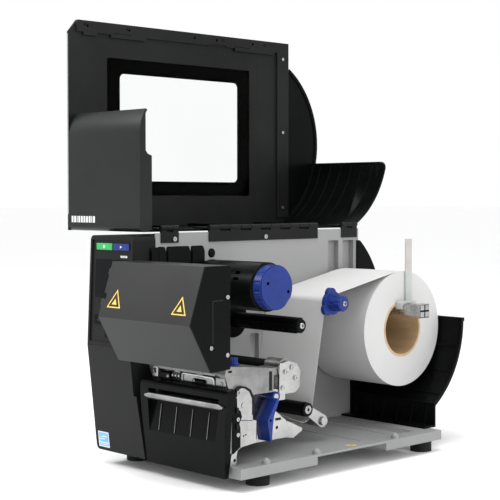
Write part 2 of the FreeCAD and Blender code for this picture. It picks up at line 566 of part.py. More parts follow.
def label_web():
    """Label stock from the roll's top, over the guide rod, under the damper roller and out at the platen.

    The path runs towards -Y.  Each wrap is one arc, and the two faces are the same path offset."""
    stops = [(ROLL_CENTRE, ROLL_RADIUS, -1), (GUIDE_ROD, GUIDE_RADIUS, -1),
             (SLACK_CENTRE, SLACK_RADIUS, 1), (PLATEN, PLATEN_RADIUS, -1)]

    def face(offset):
        radii = [radius + LABEL_GAP + LABEL_THICK - offset if side > 0 else -(radius + LABEL_GAP + offset)
                 for _, radius, side in stops]
        centres = [stop[0] for stop in stops]
        runs = [tangent(centres[i], radii[i], centres[i + 1], radii[i + 1]) for i in range(3)]
        leave = (centres[3][0], centres[3][1] + abs(radii[3]))
        return centres, radii, runs, leave

    near, far = face(0.0), face(LABEL_THICK)

    def steps(data):
        centres, radii, runs, leave = data
        path = [runs[0][0], runs[0][1]]
        for i in (1, 2):
            start, stop = runs[i - 1][1], runs[i][0]
            middle = arc_middle(centres[i], abs(radii[i]), start, stop)
            path.append((middle, stop))
            path.append(runs[i][1])
        path.append((arc_middle(centres[3], abs(radii[3]), runs[2][1], leave), leave))
        path.append((-16.0, leave[1]))
        return path

    def arc_middle(centre, radius, start, stop):
        mean = ((start[0] + stop[0]) / 2 - centre[0], (start[1] + stop[1]) / 2 - centre[1])
        size = math.hypot(*mean)
        return (centre[0] + mean[0] / size * radius, centre[1] + mean[1] / size * radius)

    there, back = steps(near), steps(far)
    corners = [s[1] if isinstance(s[0], tuple) else s for s in back]
    reverse = [corners[-1]]
    for i in range(len(back) - 1, 0, -1):
        target = corners[i - 1]
        reverse.append((back[i][0], target) if isinstance(back[i][0], tuple) else target)
    return prism_x(there + reverse, (ROLL_X[0], ROLL_X[1] - 1.0))


def upper_guide_rod():
    rod = rod_x((0.0, 145.0), GUIDE_ROD, GUIDE_RADIUS)
    foot = rod_x((0.0, 4.0), GUIDE_ROD, 14.0)
    tip = rod_x((145.0, 147.0), GUIDE_ROD, 4.0)
    return join([rod, foot, tip])


def guide_collar():
    """Three-lobed edge guide that slides on the upper rod."""
    x = (121.6, 128.0)
    lobes = [rod_x(x, GUIDE_ROD, 16.5)]
    lobes += [rod_x(x, on_circle(GUIDE_ROD, 13.0, 100 + 120 * i), 8.5) for i in range(3)]
    hub = rod_x((x[1], 137.5), GUIDE_ROD, 11.5)
    for i in range(6):
        hub = hub.cut(rod_x((x[1] + 2.0, 139.0), on_circle(GUIDE_ROD, 12.2, 60 * i), 2.0))
    return join(lobes + [hub]).cut(rod_x((120.0, 140.0), GUIDE_ROD, GUIDE_RADIUS + RUNNING_GAP))


def damper_shaft():
    """Fixed rod that the damper arms turn on, with its foot on the plate and an end collar."""
    return join([rod_x((0.0, 125.0), DAMPER_PIVOT, 4.0), rod_x((0.0, 2.5), DAMPER_PIVOT, 12.0),
                 rod_x((125.0, 128.0), DAMPER_PIVOT, 6.0)])


def damper_arms():
    """Two arms and the black cross bar between them."""
    arms = []
    for x in ((3.0, 6.0), (121.4, 124.4)):
        blade = loop_x(x, DAMPER_PIVOT, 9.0, DAMPER_ROLLER, 6.5)
        arms.append(blade.cut(rod_x((x[0] - 1, x[1] + 1), DAMPER_PIVOT, 4.0 + RUNNING_GAP))
                    .cut(rod_x((x[0] - 1, x[1] + 1), DAMPER_ROLLER, 3.0 + RUNNING_GAP)))
    sleeve = tube_x((6.0, 121.4), DAMPER_PIVOT, 8.5, 4.0 + RUNNING_GAP)
    return join(arms + [sleeve])


def damper_roller():
    roller = rod_x((6.6, 120.8), DAMPER_ROLLER, DAMPER_RADIUS)
    return join([roller, rod_x((3.0, 126.5), DAMPER_ROLLER, 3.0)])


# ---------------------------------------------------------------- print mechanism
def inner_plate():
    """Plate against the centre plate, and the floor that ties it to the outer side."""
    plate = prism_x([(3.0, PAN_TOP), (110.0, PAN_TOP), (110.0, 156.0), (72.0, 156.0), (60.0, 113.0),
                     (3.0, 113.0)],
                    (0.0, 3.0))
    plate = plate.cut(rod_x((-1.0, 4.0), PLATEN, SHAFT_RADIUS + RUNNING_GAP))
    return join([plate, box((3.0, REAR_WEB_X[0]), (34.0, 108.0), (49.0, 51.5))])


def mechanism_frame():
    """Inner plate, floor and joggled outer plate; the outer one's rear half is set back for the lever."""
    near, far = REAR_WEB_X[1], SIDE_PLATE_X[0]
    front = prism_x([(-12.5, 44.5), (3.0, 53.0), (29.4, 56.0), (30.0, 84.0), (23.5, 86.0), (23.3, 113.0),
                     ((20.0, 121.0), (14.0, 125.5)), ((6.5, 129.5), (-1.0, 125.0)), (-6.5, 112.0), (-13.0,
                                                                                                    95.0)],
                    SIDE_PLATE_X)
    foot = prism_x([(-15.5, PAN_TOP), (-4.7, PAN_TOP), (-4.7, 42.5), (-1.2, 54.0), (-9.5, 54.0),
                    (-14.0, 42.5)],
                   (SIDE_PLATE_X[0] + 1.0, SIDE_PLATE_X[1]))
    step = box((REAR_WEB_X[0], far + 1.0), (19.5, 22.0), (57.0, 112.0))
    rear = prism_x([(19.5, 49.0), (112.8, 49.0), (109.0, 72.0), (84.0, 90.0), (84.0, 113.0), (19.5, 113.0)],
                   REAR_WEB_X)
    arm = box(REAR_WEB_X, (77.0, 107.0), (100.0, 136.0))
    rear = join([rear, arm]).cut(prism_x(rounded((88.0, 99.5), (73.6, 77.0), 1.2), (136.0, 141.0)))
    rear = rear.cut(rod_x((136.0, 141.0), (91.7, 64.4), 2.4))
    tab = prism_x([(100.0, 58.0), (112.0, 70.5), (141.6, 57.5), (140.4, 54.0), (124.2, 46.0), (104.0, 49.5)],
                  (REAR_WEB_X[0], REAR_WEB_X[0] + 1.6))
    pin = rod_x((near - 1.0, 161.0), LEVER_PIVOT, 4.0)
    post = box((near, far), (87.0, 107.0), (116.0, 136.0))
    frame = join([front, foot, step, rear, tab, pin, post, inner_plate()])
    frame = frame.cut(rod_x((162.0, 166.0), (-8.0, 38.1), 2.1))
    return frame.cut(rod_x((161.0, 166.5), PLATEN, SHAFT_RADIUS + RUNNING_GAP))


def latch_plate():
    """Dark latch strip on the front edge of the side plate."""
    strip = [(-12.0, 46.5), (0.5, 54.0), (0.5, 78.0), (-1.5, 84.0), (3.0, 92.0), (1.0, 99.0), (-5.0, 105.0),
             (-5.5, 116.5), (-11.0, 116.5), (-12.0, 94.0)]
    return prism_x(strip, (SIDE_PLATE_X[1], SIDE_PLATE_X[1] + 1.8))


def pivot_bracket():
    """Chamfered bracket that holds the outer end of the head pivot bar."""
    return prism_x([(73.0, 113.0), (101.0, 113.0), (108.5, 119.0), (110.5, 140.0), (104.0, 151.0),
                    (88.0, 155.5),
                    (76.0, 153.0), (71.5, 146.0), (71.5, 116.0)], SIDE_PLATE_X)


def head_pivot_bar():
    bar = rod_x((3.0, SIDE_PLATE_X[0]), HEAD_PIVOT, BAR_RADIUS)
    return bar


def head_carrier():
    """Cast head holder: a box over the print line with two hubs on the pivot bar."""
    side = [(-21.0, 146.0), (-19.0, 154.0), (-15.0, 156.0), (12.0, 154.0), (58.0, 148.5), (64.5, 147.0),
            (64.0, 117.0),
            (-7.0, 117.0), (-15.0, 128.0)]
    body = prism_x(side, HEAD_X)
    body = body.cut(box((15.0, 154.0), (-16.0, 28.0), (116.0, 124.0)))
    body = body.cut(box((15.0, 154.0), (34.0, 58.0), (116.0, 142.0)))
    body = body.cut(prism_x(rounded((-16.0, -9.0), (148.5, 151.5), 1.2), (155.0, 163.0)))
    for i in range(3):
        x = 30.0 + 44.0 * i
        body = body.cut(box((x, x + 32.0), (-23.0, -12.0), (134.0, 145.0)))
    hubs = []
    for x in ((12.0, 26.0), (134.0, 161.5)):
        hubs.append(rod_x(x, HEAD_PIVOT, 10.5))
        hubs.append(box(x, (58.0, HEAD_PIVOT[0]), (139.0, 148.0)))
    carrier = join([body] + hubs)
    return carrier.cut(rod_x((0.0, 170.0), HEAD_PIVOT, BAR_RADIUS + RUNNING_GAP))


def thermal_head():
    """Print head: a heat sink with the ceramic strip under it."""
    low = PLATEN[1] + PLATEN_RADIUS + LABEL_GAP + LABEL_THICK + 0.4
    sink = box((17.0, 152.0), (-15.0, 27.0), (low + 1.2, 124.0))
    for i in range(12):
        x = 24.0 + 10.6 * i
        sink = sink.cut(box((x, x + 3.0), (8.0, 28.0), (low + 3.5, 125.0)))
    strip = box((17.0, 152.0), (PLATEN[0] - 14.0, PLATEN[0] + 8.0), (low, low + 1.2))
    return join([sink, strip])


def pressure_knobs():
    """Two blue head-pressure caps on the carrier's top."""
    knobs = []
    for x in (46.0, 140.0):
        centre = (x, 13.0)
        knob = join([rod_z((152.0, 164.0), centre, 6.0), rod_z((152.0, 157.0), centre, 7.5)])
        for i in range(8):
            spot = on_circle(centre, 7.0, 45 * i)
            knob = knob.cut(rod_z((157.5, 165.0), spot, 1.6))
        knobs.append(knob)
    return Part.makeCompound([knob.cut(head_carrier()) for knob in knobs])


def head_lever():
    """Blue bent lever that raises the print head when its lower end is swung to the rear."""
    across = (141.0, 167.0)
    front = [(66.6, 109.6), (48.5, 81.4), (49.2, 75.0), (53.6, 53.9)]
    back = [(55.8, 53.7), (57.8, 73.7), (59.7, 86.4), (70.8, 109.8)]
    lever = join([prism_x(front + back, across), rod_x((across[0], 161.0), LEVER_PIVOT, 6.4)])
    for (y, z), (next_y, next_z) in zip(front, front[1:]):
        wedge = Part.Face(Part.makePolygon([V(across[0] - 1, y - 6, z), V(across[0] + 9, y, z),
                                            V(across[0] - 1, y + 2.6, z), V(across[0] - 1, y - 6, z)]))
        lever = lever.cut(wedge.extrude(V(0, next_y - y, next_z - z)))
    lever = lever.cut(rod_x((161.0, 168.0), (53.6, 81.3), 2.0))
    return lever.cut(rod_x((across[0] - 1, 168.0), LEVER_PIVOT, 4.0 + RUNNING_GAP))


# ---------------------------------------------------------------- ribbon spindles
def takeup_spindle():
    """Black take-up drum on its drive shaft."""
    drum = rod_x((14.0, 128.0), TAKEUP, TAKEUP_RADIUS)
    outer_end = [e for e in drum.Edges if abs(e.BoundBox.XMin - 128.0) < 0.1 and e.BoundBox.XLength < 0.1]
    drum = drum.makeChamfer(2.5, outer_end)
    for rise in (9.0, 17.0):
        drum = drum.cut(box((91.0, 101.0), (TAKEUP[0] - 34.0, TAKEUP[0] - 20.0),
                            (TAKEUP[1] + rise, TAKEUP[1] + rise + 4.0)))
    return join([drum, rod_x((4.0, 14.0), TAKEUP, 12.0), rod_x((-18.0, 4.0), TAKEUP, 5.0)])


def takeup_knob():
    knob = join([rod_x((128.0, 141.0), TAKEUP, 30.0), rod_x((141.0, 143.0), TAKEUP, 28.5)])
    for dy, dz in ((-16.7, 6.0), (21.0, -6.2)):
        knob = knob.cut(rod_x((139.0, 144.0), (TAKEUP[0] + dy, TAKEUP[1] + dz), 2.4))
    knob = knob.cut(prism_x([(TAKEUP[0] + 16.0, TAKEUP[1] - 32.0), (TAKEUP[0] + 34.0, TAKEUP[1] - 20.0),
                             (TAKEUP[0] + 26.0, TAKEUP[1] - 13.0), (TAKEUP[0] + 17.0,
                                                                    TAKEUP[1] - 22.0)], (131.0, 144.0)))
    for i in range(10):
        spot = on_circle(TAKEUP, 31.0, 20 + 24 * i)
        knob = knob.cut(rod_x((129.0, 140.0), spot, 2.2))
    return knob


def supply_spindle():
    """Ribbed ribbon supply spindle with its inner flange."""
    pieces = [rod_x((14.0, 145.0), SUPPLY, 7.5), rod_x((9.0, 14.0), SUPPLY, 26.0),
              rod_x((4.0, 9.0), SUPPLY, 9.0),
              rod_x((-18.0, 4.0), SUPPLY, SHAFT_RADIUS), rod_x((20.0, 56.0), SUPPLY, 10.5),
              rod_x((128.0, 143.0), SUPPLY, 10.0)]
    for i in range(7):
        x = 60.0 + 9.6 * i
        pieces.append(rod_x((x, x + 5.0), SUPPLY, SUPPLY_RADIUS))
    for i in range(3):
        fin = box((20.0, 143.0), (SUPPLY[0] - 11.5, SUPPLY[0] + 11.5), (SUPPLY[1] - 1.2, SUPPLY[1] + 1.2))
        fin.rotate(V(0, SUPPLY[0], SUPPLY[1]), V(1, 0, 0), 60 * i)
        pieces.append(fin)
    return join(pieces)


# ---------------------------------------------------------------- rear bucket
def rear_bucket():
    """Lower rear shell round the roll, with its end wall on the centre plate and stiffening ribs."""
    foot_angle = -math.degrees(math.acos((BUCKET_FOOT_Y - BUCKET_CENTRE[0]) / BUCKET_RADIUS))
    inner = BUCKET_RADIUS - WALL
    wide = (0.0, BUCKET_RIGHT)
    skin = band_x(wide, BUCKET_CENTRE, BUCKET_RADIUS, inner, foot_angle, BUCKET_TOP_ANGLE)
    joint_z = BUCKET_CENTRE[1] + BUCKET_RADIUS * math.sin(math.radians(foot_angle))
    post = box(wide, (BUCKET_FOOT_Y - WALL, BUCKET_FOOT_Y), (PAN_TOP, joint_z + 4.0))
    flange = box(wide, (372.0, BUCKET_FOOT_Y), (PAN_TOP, PAN_TOP + WALL))
    pieces = [skin, post, flange]
    for start in (foot_angle + 8, foot_angle + 24, foot_angle + 40):
        pieces.append(band_x(wide, BUCKET_CENTRE, inner + 0.5, inner - 1.6, start, start + 0.9))
    rim = band_x((BUCKET_RIGHT - 2.5, BUCKET_RIGHT), BUCKET_CENTRE, inner + 0.5, inner - 2.2,
                 foot_angle, BUCKET_TOP_ANGLE)
    lip = band_x(wide, BUCKET_CENTRE, BUCKET_RADIUS + 2.0, BUCKET_RADIUS - 0.5,
                 BUCKET_TOP_ANGLE - 2.0, BUCKET_TOP_ANGLE)
    pieces += [rim, lip]
    for i in range(6):
        x = 14.0 + 27.0 * i
        pieces.append(prism_x([(BUCKET_FOOT_Y - WALL, PAN_TOP + WALL), (BUCKET_FOOT_Y - WALL, joint_z),
                               (BUCKET_FOOT_Y - 10.0, PAN_TOP + WALL)], (x, x + 2.0)))
    end = prism_x([(392.5, PAN_TOP + WALL), (BUCKET_FOOT_Y - WALL, PAN_TOP + WALL),
                   (BUCKET_FOOT_Y - WALL, joint_z + 3.0),
                   on_circle(BUCKET_CENTRE, inner + 1, foot_angle + 3),
                   (on_circle(BUCKET_CENTRE, inner + 1, -20), on_circle(BUCKET_CENTRE, inner + 1, 1.0)),
                   ((454.0, 240.0), (411.0, 302.0)), (405.0, 302.0), (405.0, 180.0), (392.5, 152.0)], (0.0,
                                                                                                       2.8))
    return join(pieces + [end])


# ---------------------------------------------------------------- code validator in front
def offset_profile(points, inset):
    """Shift every corner of the validator outline towards its inside."""
    centre = (-60.0, 215.0)
    moved = []
    count = len(points)
    for i, here in enumerate(points):
        lines = []
        for a, b in ((points[i - 1], here), (here, points[(i + 1) % count])):
            dy, dz = b[0] - a[0], b[1] - a[1]
            size = math.hypot(dy, dz)
            ny, nz = -dz / size, dy / size
            if (centre[0] - a[0]) * ny + (centre[1] - a[1]) * nz < 0:
                ny, nz = -ny, -nz
            lines.append((ny, nz, ny * a[0] + nz * a[1] + inset))
        (a1, b1, c1), (a2, b2, c2) = lines
        det = a1 * b2 - a2 * b1
        moved.append(((c1 * b2 - c2 * b1) / det, (a1 * c2 - a2 * c1) / det))
    return moved


def validator_shell():
    """Folded sheet hood: top, two front facets and its left end."""
    thick = 2.0
    inner = offset_profile(VALIDATOR_PROFILE, thick)
    inner = [(20.0, inner[0][1]), inner[1], inner[2], inner[3], (inner[3][0] + 3.0, 140.0), (20.0, 140.0)]
    x = (VALIDATOR_X[0], VALIDATOR_X[1] - thick - 0.2)
    hood = prism_x(VALIDATOR_PROFILE, x).cut(prism_x(inner, (x[0] + thick, x[1] + 1)))
    for low in (176.0, 236.0):
        hood = hood.cut(box((x[0] - 1, x[0] + 6.0), (-100.0, -82.0), (low, low + 9.0)))
    return hood


def validator_side_plate():
    thick = 2.0
    plate = prism_x(VALIDATOR_PROFILE, (VALIDATOR_X[1] - thick, VALIDATOR_X[1]))
    return plate


def validator_bracket():
    """Arm from the hood's left end back to the centre plate, on two spacers."""
    arm = prism_x([(-66.0, 176.0), (-50.0, 166.0), (34.0, 166.0), (34.0, 276.0), (-66.0, 276.0),
                   (-84.0, 220.0)], (2.5, 5.5))
    arm = arm.cut(prism_x(rounded((-52.0, -6.0), (186.0, 258.0), 6.0), (1.0, 7.0)))
    spacers = [rod_x((0.0, 2.5), (18.0, z), 7.0) for z in (182.0, 256.0)]
    return join([arm] + spacers)


def validator_scanner():
    """Line scanner that reads each label below the hood, on a rail to the bracket."""
    body = prism_x([(-78.0, 222.0), (-50.0, 222.0), (-50.0, 250.0), (-62.0, 262.0), (-76.0, 262.0),
                    (-82.0, 240.0)], (28.0, 150.0))
    body = body.cut(box((36.0, 142.0), (-70.0, -58.0), (221.0, 225.0)))
    rail = box((5.5, 28.0), (-74.0, -56.0), (232.0, 246.0))
    return join([body, rail])


# ---------------------------------------------------------------- hinge
def knuckle_spans(moving):
    spans = []
    for start, stop, count in HINGE_SPANS:
        pitch = (stop - start) / count
        for i in range(count):
            if (i % 2 == 1) == moving:
                spans.append((start + i * pitch + 0.4, start + (i + 1) * pitch - 0.4))
    return spans


def knuckle(span, bore):
    return rod_y(span, (0.0, HINGE_Z), KNUCKLE_RADIUS).cut(rod_y((span[0] - 1, span[1] + 1), (0.0, HINGE_Z),
                                                                 bore))


def hinge_fixed_leaves():
    leaves = []
    for start, stop, count in HINGE_SPANS:
        pieces = [box((0.0, 2.0), (start, stop), (307.0, 321.5))]
        for span in knuckle_spans(False):
            if start <= span[0] and span[1] <= stop:
                pieces.append(box((0.0, 2.0), span, (321.5, HINGE_Z - 2.5)))
                pieces.append(knuckle(span, PIN_RADIUS))
        leaves.append(join(pieces))
    return Part.makeCompound(leaves)


def hinge_moving_leaves():
    leaves = []
    for start, stop, count in HINGE_SPANS:
        pieces = [box((-34.0, -5.0), (start, stop), (325.0, 327.0))]
        for span in knuckle_spans(True):
            if start <= span[0] and span[1] <= stop:
                pieces.append(box((-5.0, -2.5), span, (325.0, 327.0)))
                pieces.append(knuckle(span, PIN_RADIUS + RUNNING_GAP))
        leaves.append(join(pieces))
    return Part.makeCompound(leaves)


def hinge_pins():
    return Part.makeCompound([rod_y((start, stop), (0.0, HINGE_Z), PIN_RADIUS) for start, stop,
                              _ in HINGE_SPANS])


# ---------------------------------------------------------------- media cover, open
def cover_roof():
    """Flat roof of the cover, which lies lowest while the cover is open."""
    panel = box((COVER_IN, COVER_INNER_EDGE), (-4.0, 405.0), (COVER_LOW, COVER_LOW + WALL))
    ribs = [box((COVER_IN + 4, -40.0), (y, y + 2.0),
                (COVER_LOW + WALL, COVER_LOW + WALL + 4.0)) for y in (60.0, 200.0, 340.0)]
    return join([panel] + ribs)


def cover_side_panel():
    panel = box((COVER_OUT, COVER_IN), (COVER_FRONT, COVER_POST), (COVER_LOW, COVER_HIGH))
    post = box((COVER_IN, LINER_IN), (396.0, COVER_POST), (336.0, COVER_HIGH))
    strip = box((COVER_IN, LINER_IN), (-7.0, 396.0), (606.0, COVER_HIGH))
    panel = join([panel, post, strip])
    panel = panel.cut(prism_x(rounded(WINDOW_Y, WINDOW_Z, 8.0), (COVER_OUT - 1, COVER_IN + 1)))
    panel = panel.cut(prism_x(rounded(PANE_Y, PANE_Z, 4.0), (COVER_IN - 1.0, COVER_IN + 1)))
    panel = panel.cut(prism_x([(COVER_FRONT - 1, COVER_HIGH - 19.0), (COVER_FRONT - 1, COVER_HIGH + 1),
                               (COVER_FRONT + 16.0, COVER_HIGH + 1)], (COVER_OUT - 1, LINER_IN + 1)))
    for y in (12.0, 88.0, 216.0, 262.0, 340.0):
        panel = panel.cut(rod_x((COVER_IN, LINER_IN + 1), (y, 615.0), 2.2))
    for start in (60.0, 250.0, 300.0):
        panel = panel.cut(box((LINER_IN - 2.0, LINER_IN + 1), (start, start + 32.0), (606.0, 608.5)))
    return panel


def window_pane():
    return prism_x(rounded((PANE_Y[0] + 0.5, PANE_Y[1] - 0.5), (PANE_Z[0] + 0.5, PANE_Z[1] - 0.5), 3.5),
                   (COVER_IN - 1.0, COVER_IN + 0.6))


def cover_front_panel():
    """Curved front of the cover: its free edge bends back, and its inner side has a stepped wall."""
    front, low, high = COVER_FRONT, COVER_LOW, 488.0
    bend = 6.0
    outer = [(-4.0, low), (front + bend, low), ((front + 1.8, low + 1.8), (front, low + bend)),
             (front, 452.0),
             ((front + 2.6, 471.5), (front + 11.0, high))]
    inner = [(front + 13.6, high - 1.6), ((front + 5.6, 470.5), (front + WALL, 452.0)),
             (front + WALL, low + bend),
             ((front + 4.0, low + 4.0), (front + bend, low + WALL)), (-4.0, low + WALL)]
    face = prism_x(outer + inner, (COVER_IN, COVER_INNER_EDGE))
    wall = prism_x([(front + 2.0, low + WALL - 0.5), (1.0, low + WALL - 0.5), (1.0, 425.0), (-6.0, 427.5),
                    (-9.5, 432.0),
                    (-9.5, 482.0), (front + 6.0, 470.0), (front + 2.0, 452.0)], (COVER_INNER_EDGE - WALL,
                                                                                 COVER_INNER_EDGE))
    wall = wall.cut(box((-12.0, -7.0), (-4.0, 2.0), (low - 1, low + WALL)))
    return join([face, wall])


def cover_top_shell():
    """Roof and rear bulge in one moulding: the bulge has a part-round end cap and a trough over the roll."""
    centre, radius = BULGE_CENTRE, BULGE_RADIUS
    half = math.degrees(math.acos((COVER_POST - centre[0]) / radius))
    cap = prism_x([on_circle(centre, radius, -half), (on_circle(centre, radius, 0.0), on_circle(centre,
                                                                                                radius, half))],
                  (COVER_OUT, COVER_IN))
    trough = band_x((COVER_IN, -10.0), centre, radius, radius - WALL, BULGE_FROM, BULGE_TO)
    top = centre[1] + radius * math.sin(math.radians(BULGE_TO))
    trough = trough.common(prism_y(rounded((-400.0, -10.0), (200.0, top + 0.5), 12.0), (300.0, 520.0)))
    bridge = box((COVER_IN, -10.0), (405.0, 411.0), (COVER_LOW, COVER_LOW + WALL))
    pieces = [cap, trough, bridge, cover_roof()]
    for i in range(6):
        x = -152.0 + 23.0 * i
        pieces.append(band_x((x, x + 1.0), centre, radius - WALL + 0.4, radius - WALL - 0.9, BULGE_FROM + 9,
                             BULGE_TO - 2.0))
    end = half - 2.0
    rim = band_x((COVER_IN, COVER_IN + 2.0), centre, radius - WALL + 0.4, radius - WALL - 2.0, 5.0 - half,
                 end)
    outer_wall = band_x((COVER_IN - 0.1, COVER_IN + 2.0), centre, radius, radius - WALL, 5.0 - half, end)
    return join(pieces + [rim, outer_wall])


def cover_screws():
    heads = [screw_x(LINER_IN, (408.0, z), 2.6) for z in (352.0, 476.0, 596.0)]
    for x in (-40.0, -148.0):
        heads.append(rod_z((COVER_LOW + WALL, COVER_LOW + WALL + 1.6), (x, 396.0), 3.0))
    return Part.makeCompound(heads)


# ---------------------------------------------------------------- fixed fasteners
def frame_screws():
    heads = [screw_x(2.0, c, 3.2) for c in ((32.0, 312.0), (205.0, 312.0))]
    heads += [screw_x(SIDE_PLATE_X[1], c, 3.4) for c in ((94.3, 146.5), (82.8, 141.7), (101.0, 132.0),
                                                         (78.0, 121.0))]
    heads += [screw_x(SIDE_PLATE_X[1] + 1.8, c, 2.6) for c in ((-4.5, 89.8), (-4.5, 70.2))]
    heads += [screw_x(VALIDATOR_X[1], c, 2.6) for c in ((-36.0, 246.4), (-63.2, 185.4), (-36.4, 175.0))]
    return Part.makeCompound(heads)


MAKERS = [base_pan, rubber_feet, centre_plate, front_bezel, display_window, electronics_cover, rear_panel,
          rear_connectors, power_switch, power_supply, controller_board, platen_motor, motor_pulley,
          platen_shaft, drive_belt, ribbon_drives, front_door, tear_bar, hanger_arm, hanger_guide,
          label_roll, roll_core, label_web, upper_guide_rod, guide_collar, damper_shaft, damper_arms,
          damper_roller, mechanism_frame, latch_plate, pivot_bracket, head_pivot_bar, head_carrier,
          thermal_head, pressure_knobs, head_lever, takeup_spindle, takeup_knob, supply_spindle,
          rear_bucket, validator_shell, validator_side_plate, validator_bracket, validator_scanner,
          hinge_fixed_leaves, hinge_moving_leaves, hinge_pins, cover_side_panel, window_pane,
          cover_front_panel, cover_top_shell, cover_screws, frame_screws, platen_roller]
PARTS = {maker.__name__: maker for maker in MAKERS}


def write(name, shape):
    shape.translate(V(-ORIGIN_X, -ORIGIN_Y, 0.0))
    shape.exportStep("parts/" + name + ".step")


os.makedirs("parts", exist_ok=True)
for node, make in PARTS.items():
    write(node, make())
for node in BUTTON_PLACES:
    write(node, front_key(node))
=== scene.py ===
"""Looks for the label printer: finishes, small parts, floor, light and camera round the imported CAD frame."""

import math

import bmesh
import bpy
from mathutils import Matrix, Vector


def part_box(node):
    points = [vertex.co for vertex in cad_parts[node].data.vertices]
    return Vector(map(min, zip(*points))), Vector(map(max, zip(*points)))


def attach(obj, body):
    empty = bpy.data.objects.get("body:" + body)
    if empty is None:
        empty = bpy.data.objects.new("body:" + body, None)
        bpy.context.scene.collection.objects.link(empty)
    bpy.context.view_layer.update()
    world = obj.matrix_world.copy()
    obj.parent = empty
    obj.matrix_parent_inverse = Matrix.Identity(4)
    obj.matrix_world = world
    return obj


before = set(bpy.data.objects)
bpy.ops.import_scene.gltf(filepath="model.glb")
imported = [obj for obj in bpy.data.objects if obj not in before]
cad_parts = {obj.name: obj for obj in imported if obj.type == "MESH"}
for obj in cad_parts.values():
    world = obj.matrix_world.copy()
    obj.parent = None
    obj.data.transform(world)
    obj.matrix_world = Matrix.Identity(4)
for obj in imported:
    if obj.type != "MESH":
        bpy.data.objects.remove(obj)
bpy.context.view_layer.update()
MM = 0.001


# ---------------------------------------------------------------- camera, floor and light

CAMERA_PLACE = (1.33666, -1.30361, 0.36762)
CAMERA_PITCH = 2.3
CAMERA_AZIMUTH = 46.36
CAMERA_LENS = 92.87
SENSOR = 36.0


def make_camera():
    """The camera at the product shot's angle: a long lens, nearly level."""
    data = bpy.data.cameras.new("camera")
    data.sensor_width = SENSOR
    data.lens = CAMERA_LENS
    camera = bpy.data.objects.new("camera", data)
    camera.location = CAMERA_PLACE
    camera.rotation_euler = (math.radians(90 - CAMERA_PITCH), 0, math.radians(CAMERA_AZIMUTH))
    bpy.context.scene.collection.objects.link(camera)
    bpy.context.scene.camera = camera


def area_light(name, place, target, size, power):
    """A square soft box at place, facing target."""
    data = bpy.data.lights.new(name, "AREA")
    data.size = size
    data.energy = power
    light = bpy.data.objects.new(name, data)
    light.location = place
    aim = Vector(target) - Vector(place)
    light.rotation_euler = aim.to_track_quat("-Z", "Y").to_euler()
    bpy.context.scene.collection.objects.link(light)


def make_studio():
    """A plain pale floor, an even pale surround and three soft boxes."""
    world = bpy.data.worlds.new("studio")
    world.use_nodes = True
    surround = world.node_tree.nodes["Background"]
    surround.inputs["Color"].default_value = (1.0, 1.0, 1.0, 1)
    surround.inputs["Strength"].default_value = 1.0
    bpy.context.scene.world = world
    bpy.context.scene.view_settings.view_transform = "Standard"
    middle = (0.0, 0.0, 0.3)
    area_light("top_box", (0.3, -0.5, 2.2), middle, 1.3, 26)
    area_light("left_box", (-0.80, -1.10, 1.25), (-0.1, -0.2, 0.62), 0.5, 14)
    area_light("right_box", (2.2, 0.4, 1.0), middle, 1.0, 12)
    mesh = bpy.data.meshes.new("floor")
    reach = 40.0
    corners = [(-reach, -reach, 0), (reach, -reach, 0), (reach, reach, 0), (-reach, reach, 0)]
    mesh.from_pydata(corners, [], [(0, 1, 2, 3)])
    floor = bpy.data.objects.new("floor", mesh)
    bpy.context.scene.collection.objects.link(floor)
    paper = finish("floor_paper", (0.972, 0.972, 0.976), (0.98, 0.98, 0.984), (0.8, 0.9), 1.2,
                   Specular_IOR_Level=0.1)
    floor.data.materials.append(paper)


# ---------------------------------------------------------------- materials


def add(tree, kind, inputs=None, **settings):
    """A shader node with its settings made and its inputs set or linked, by name."""
    made = tree.nodes.new("ShaderNode" + kind)
    for name, value in settings.items():
        setattr(made, name, value)
    for name, value in (inputs or {}).items():
        if isinstance(value, bpy.types.NodeSocket):
            tree.links.new(value, made.inputs[name])
        else:
            made.inputs[name].default_value = value
    return made


def blend_colour(tree, factor, first, second):
    """The colour between two colours, by a factor socket."""
    made = add(tree, "Mix", data_type="RGBA", clamp_factor=True)
    tree.links.new(factor, made.inputs[0])
    for index, value in ((6, first), (7, second)):
        if isinstance(value, bpy.types.NodeSocket):
            tree.links.new(value, made.inputs[index])
        else:
            made.inputs[index].default_value = (*value, 1)
    return made.outputs[2]


def ranged(tree, value, low, high, start=0.0, end=1.0):
    """A socket's values from start to end, spread from low to high."""
    inputs = {"Value": value, "From Min": start, "From Max": end, "To Min": low, "To Max": high}
    return add(tree, "MapRange", inputs).outputs["Result"]


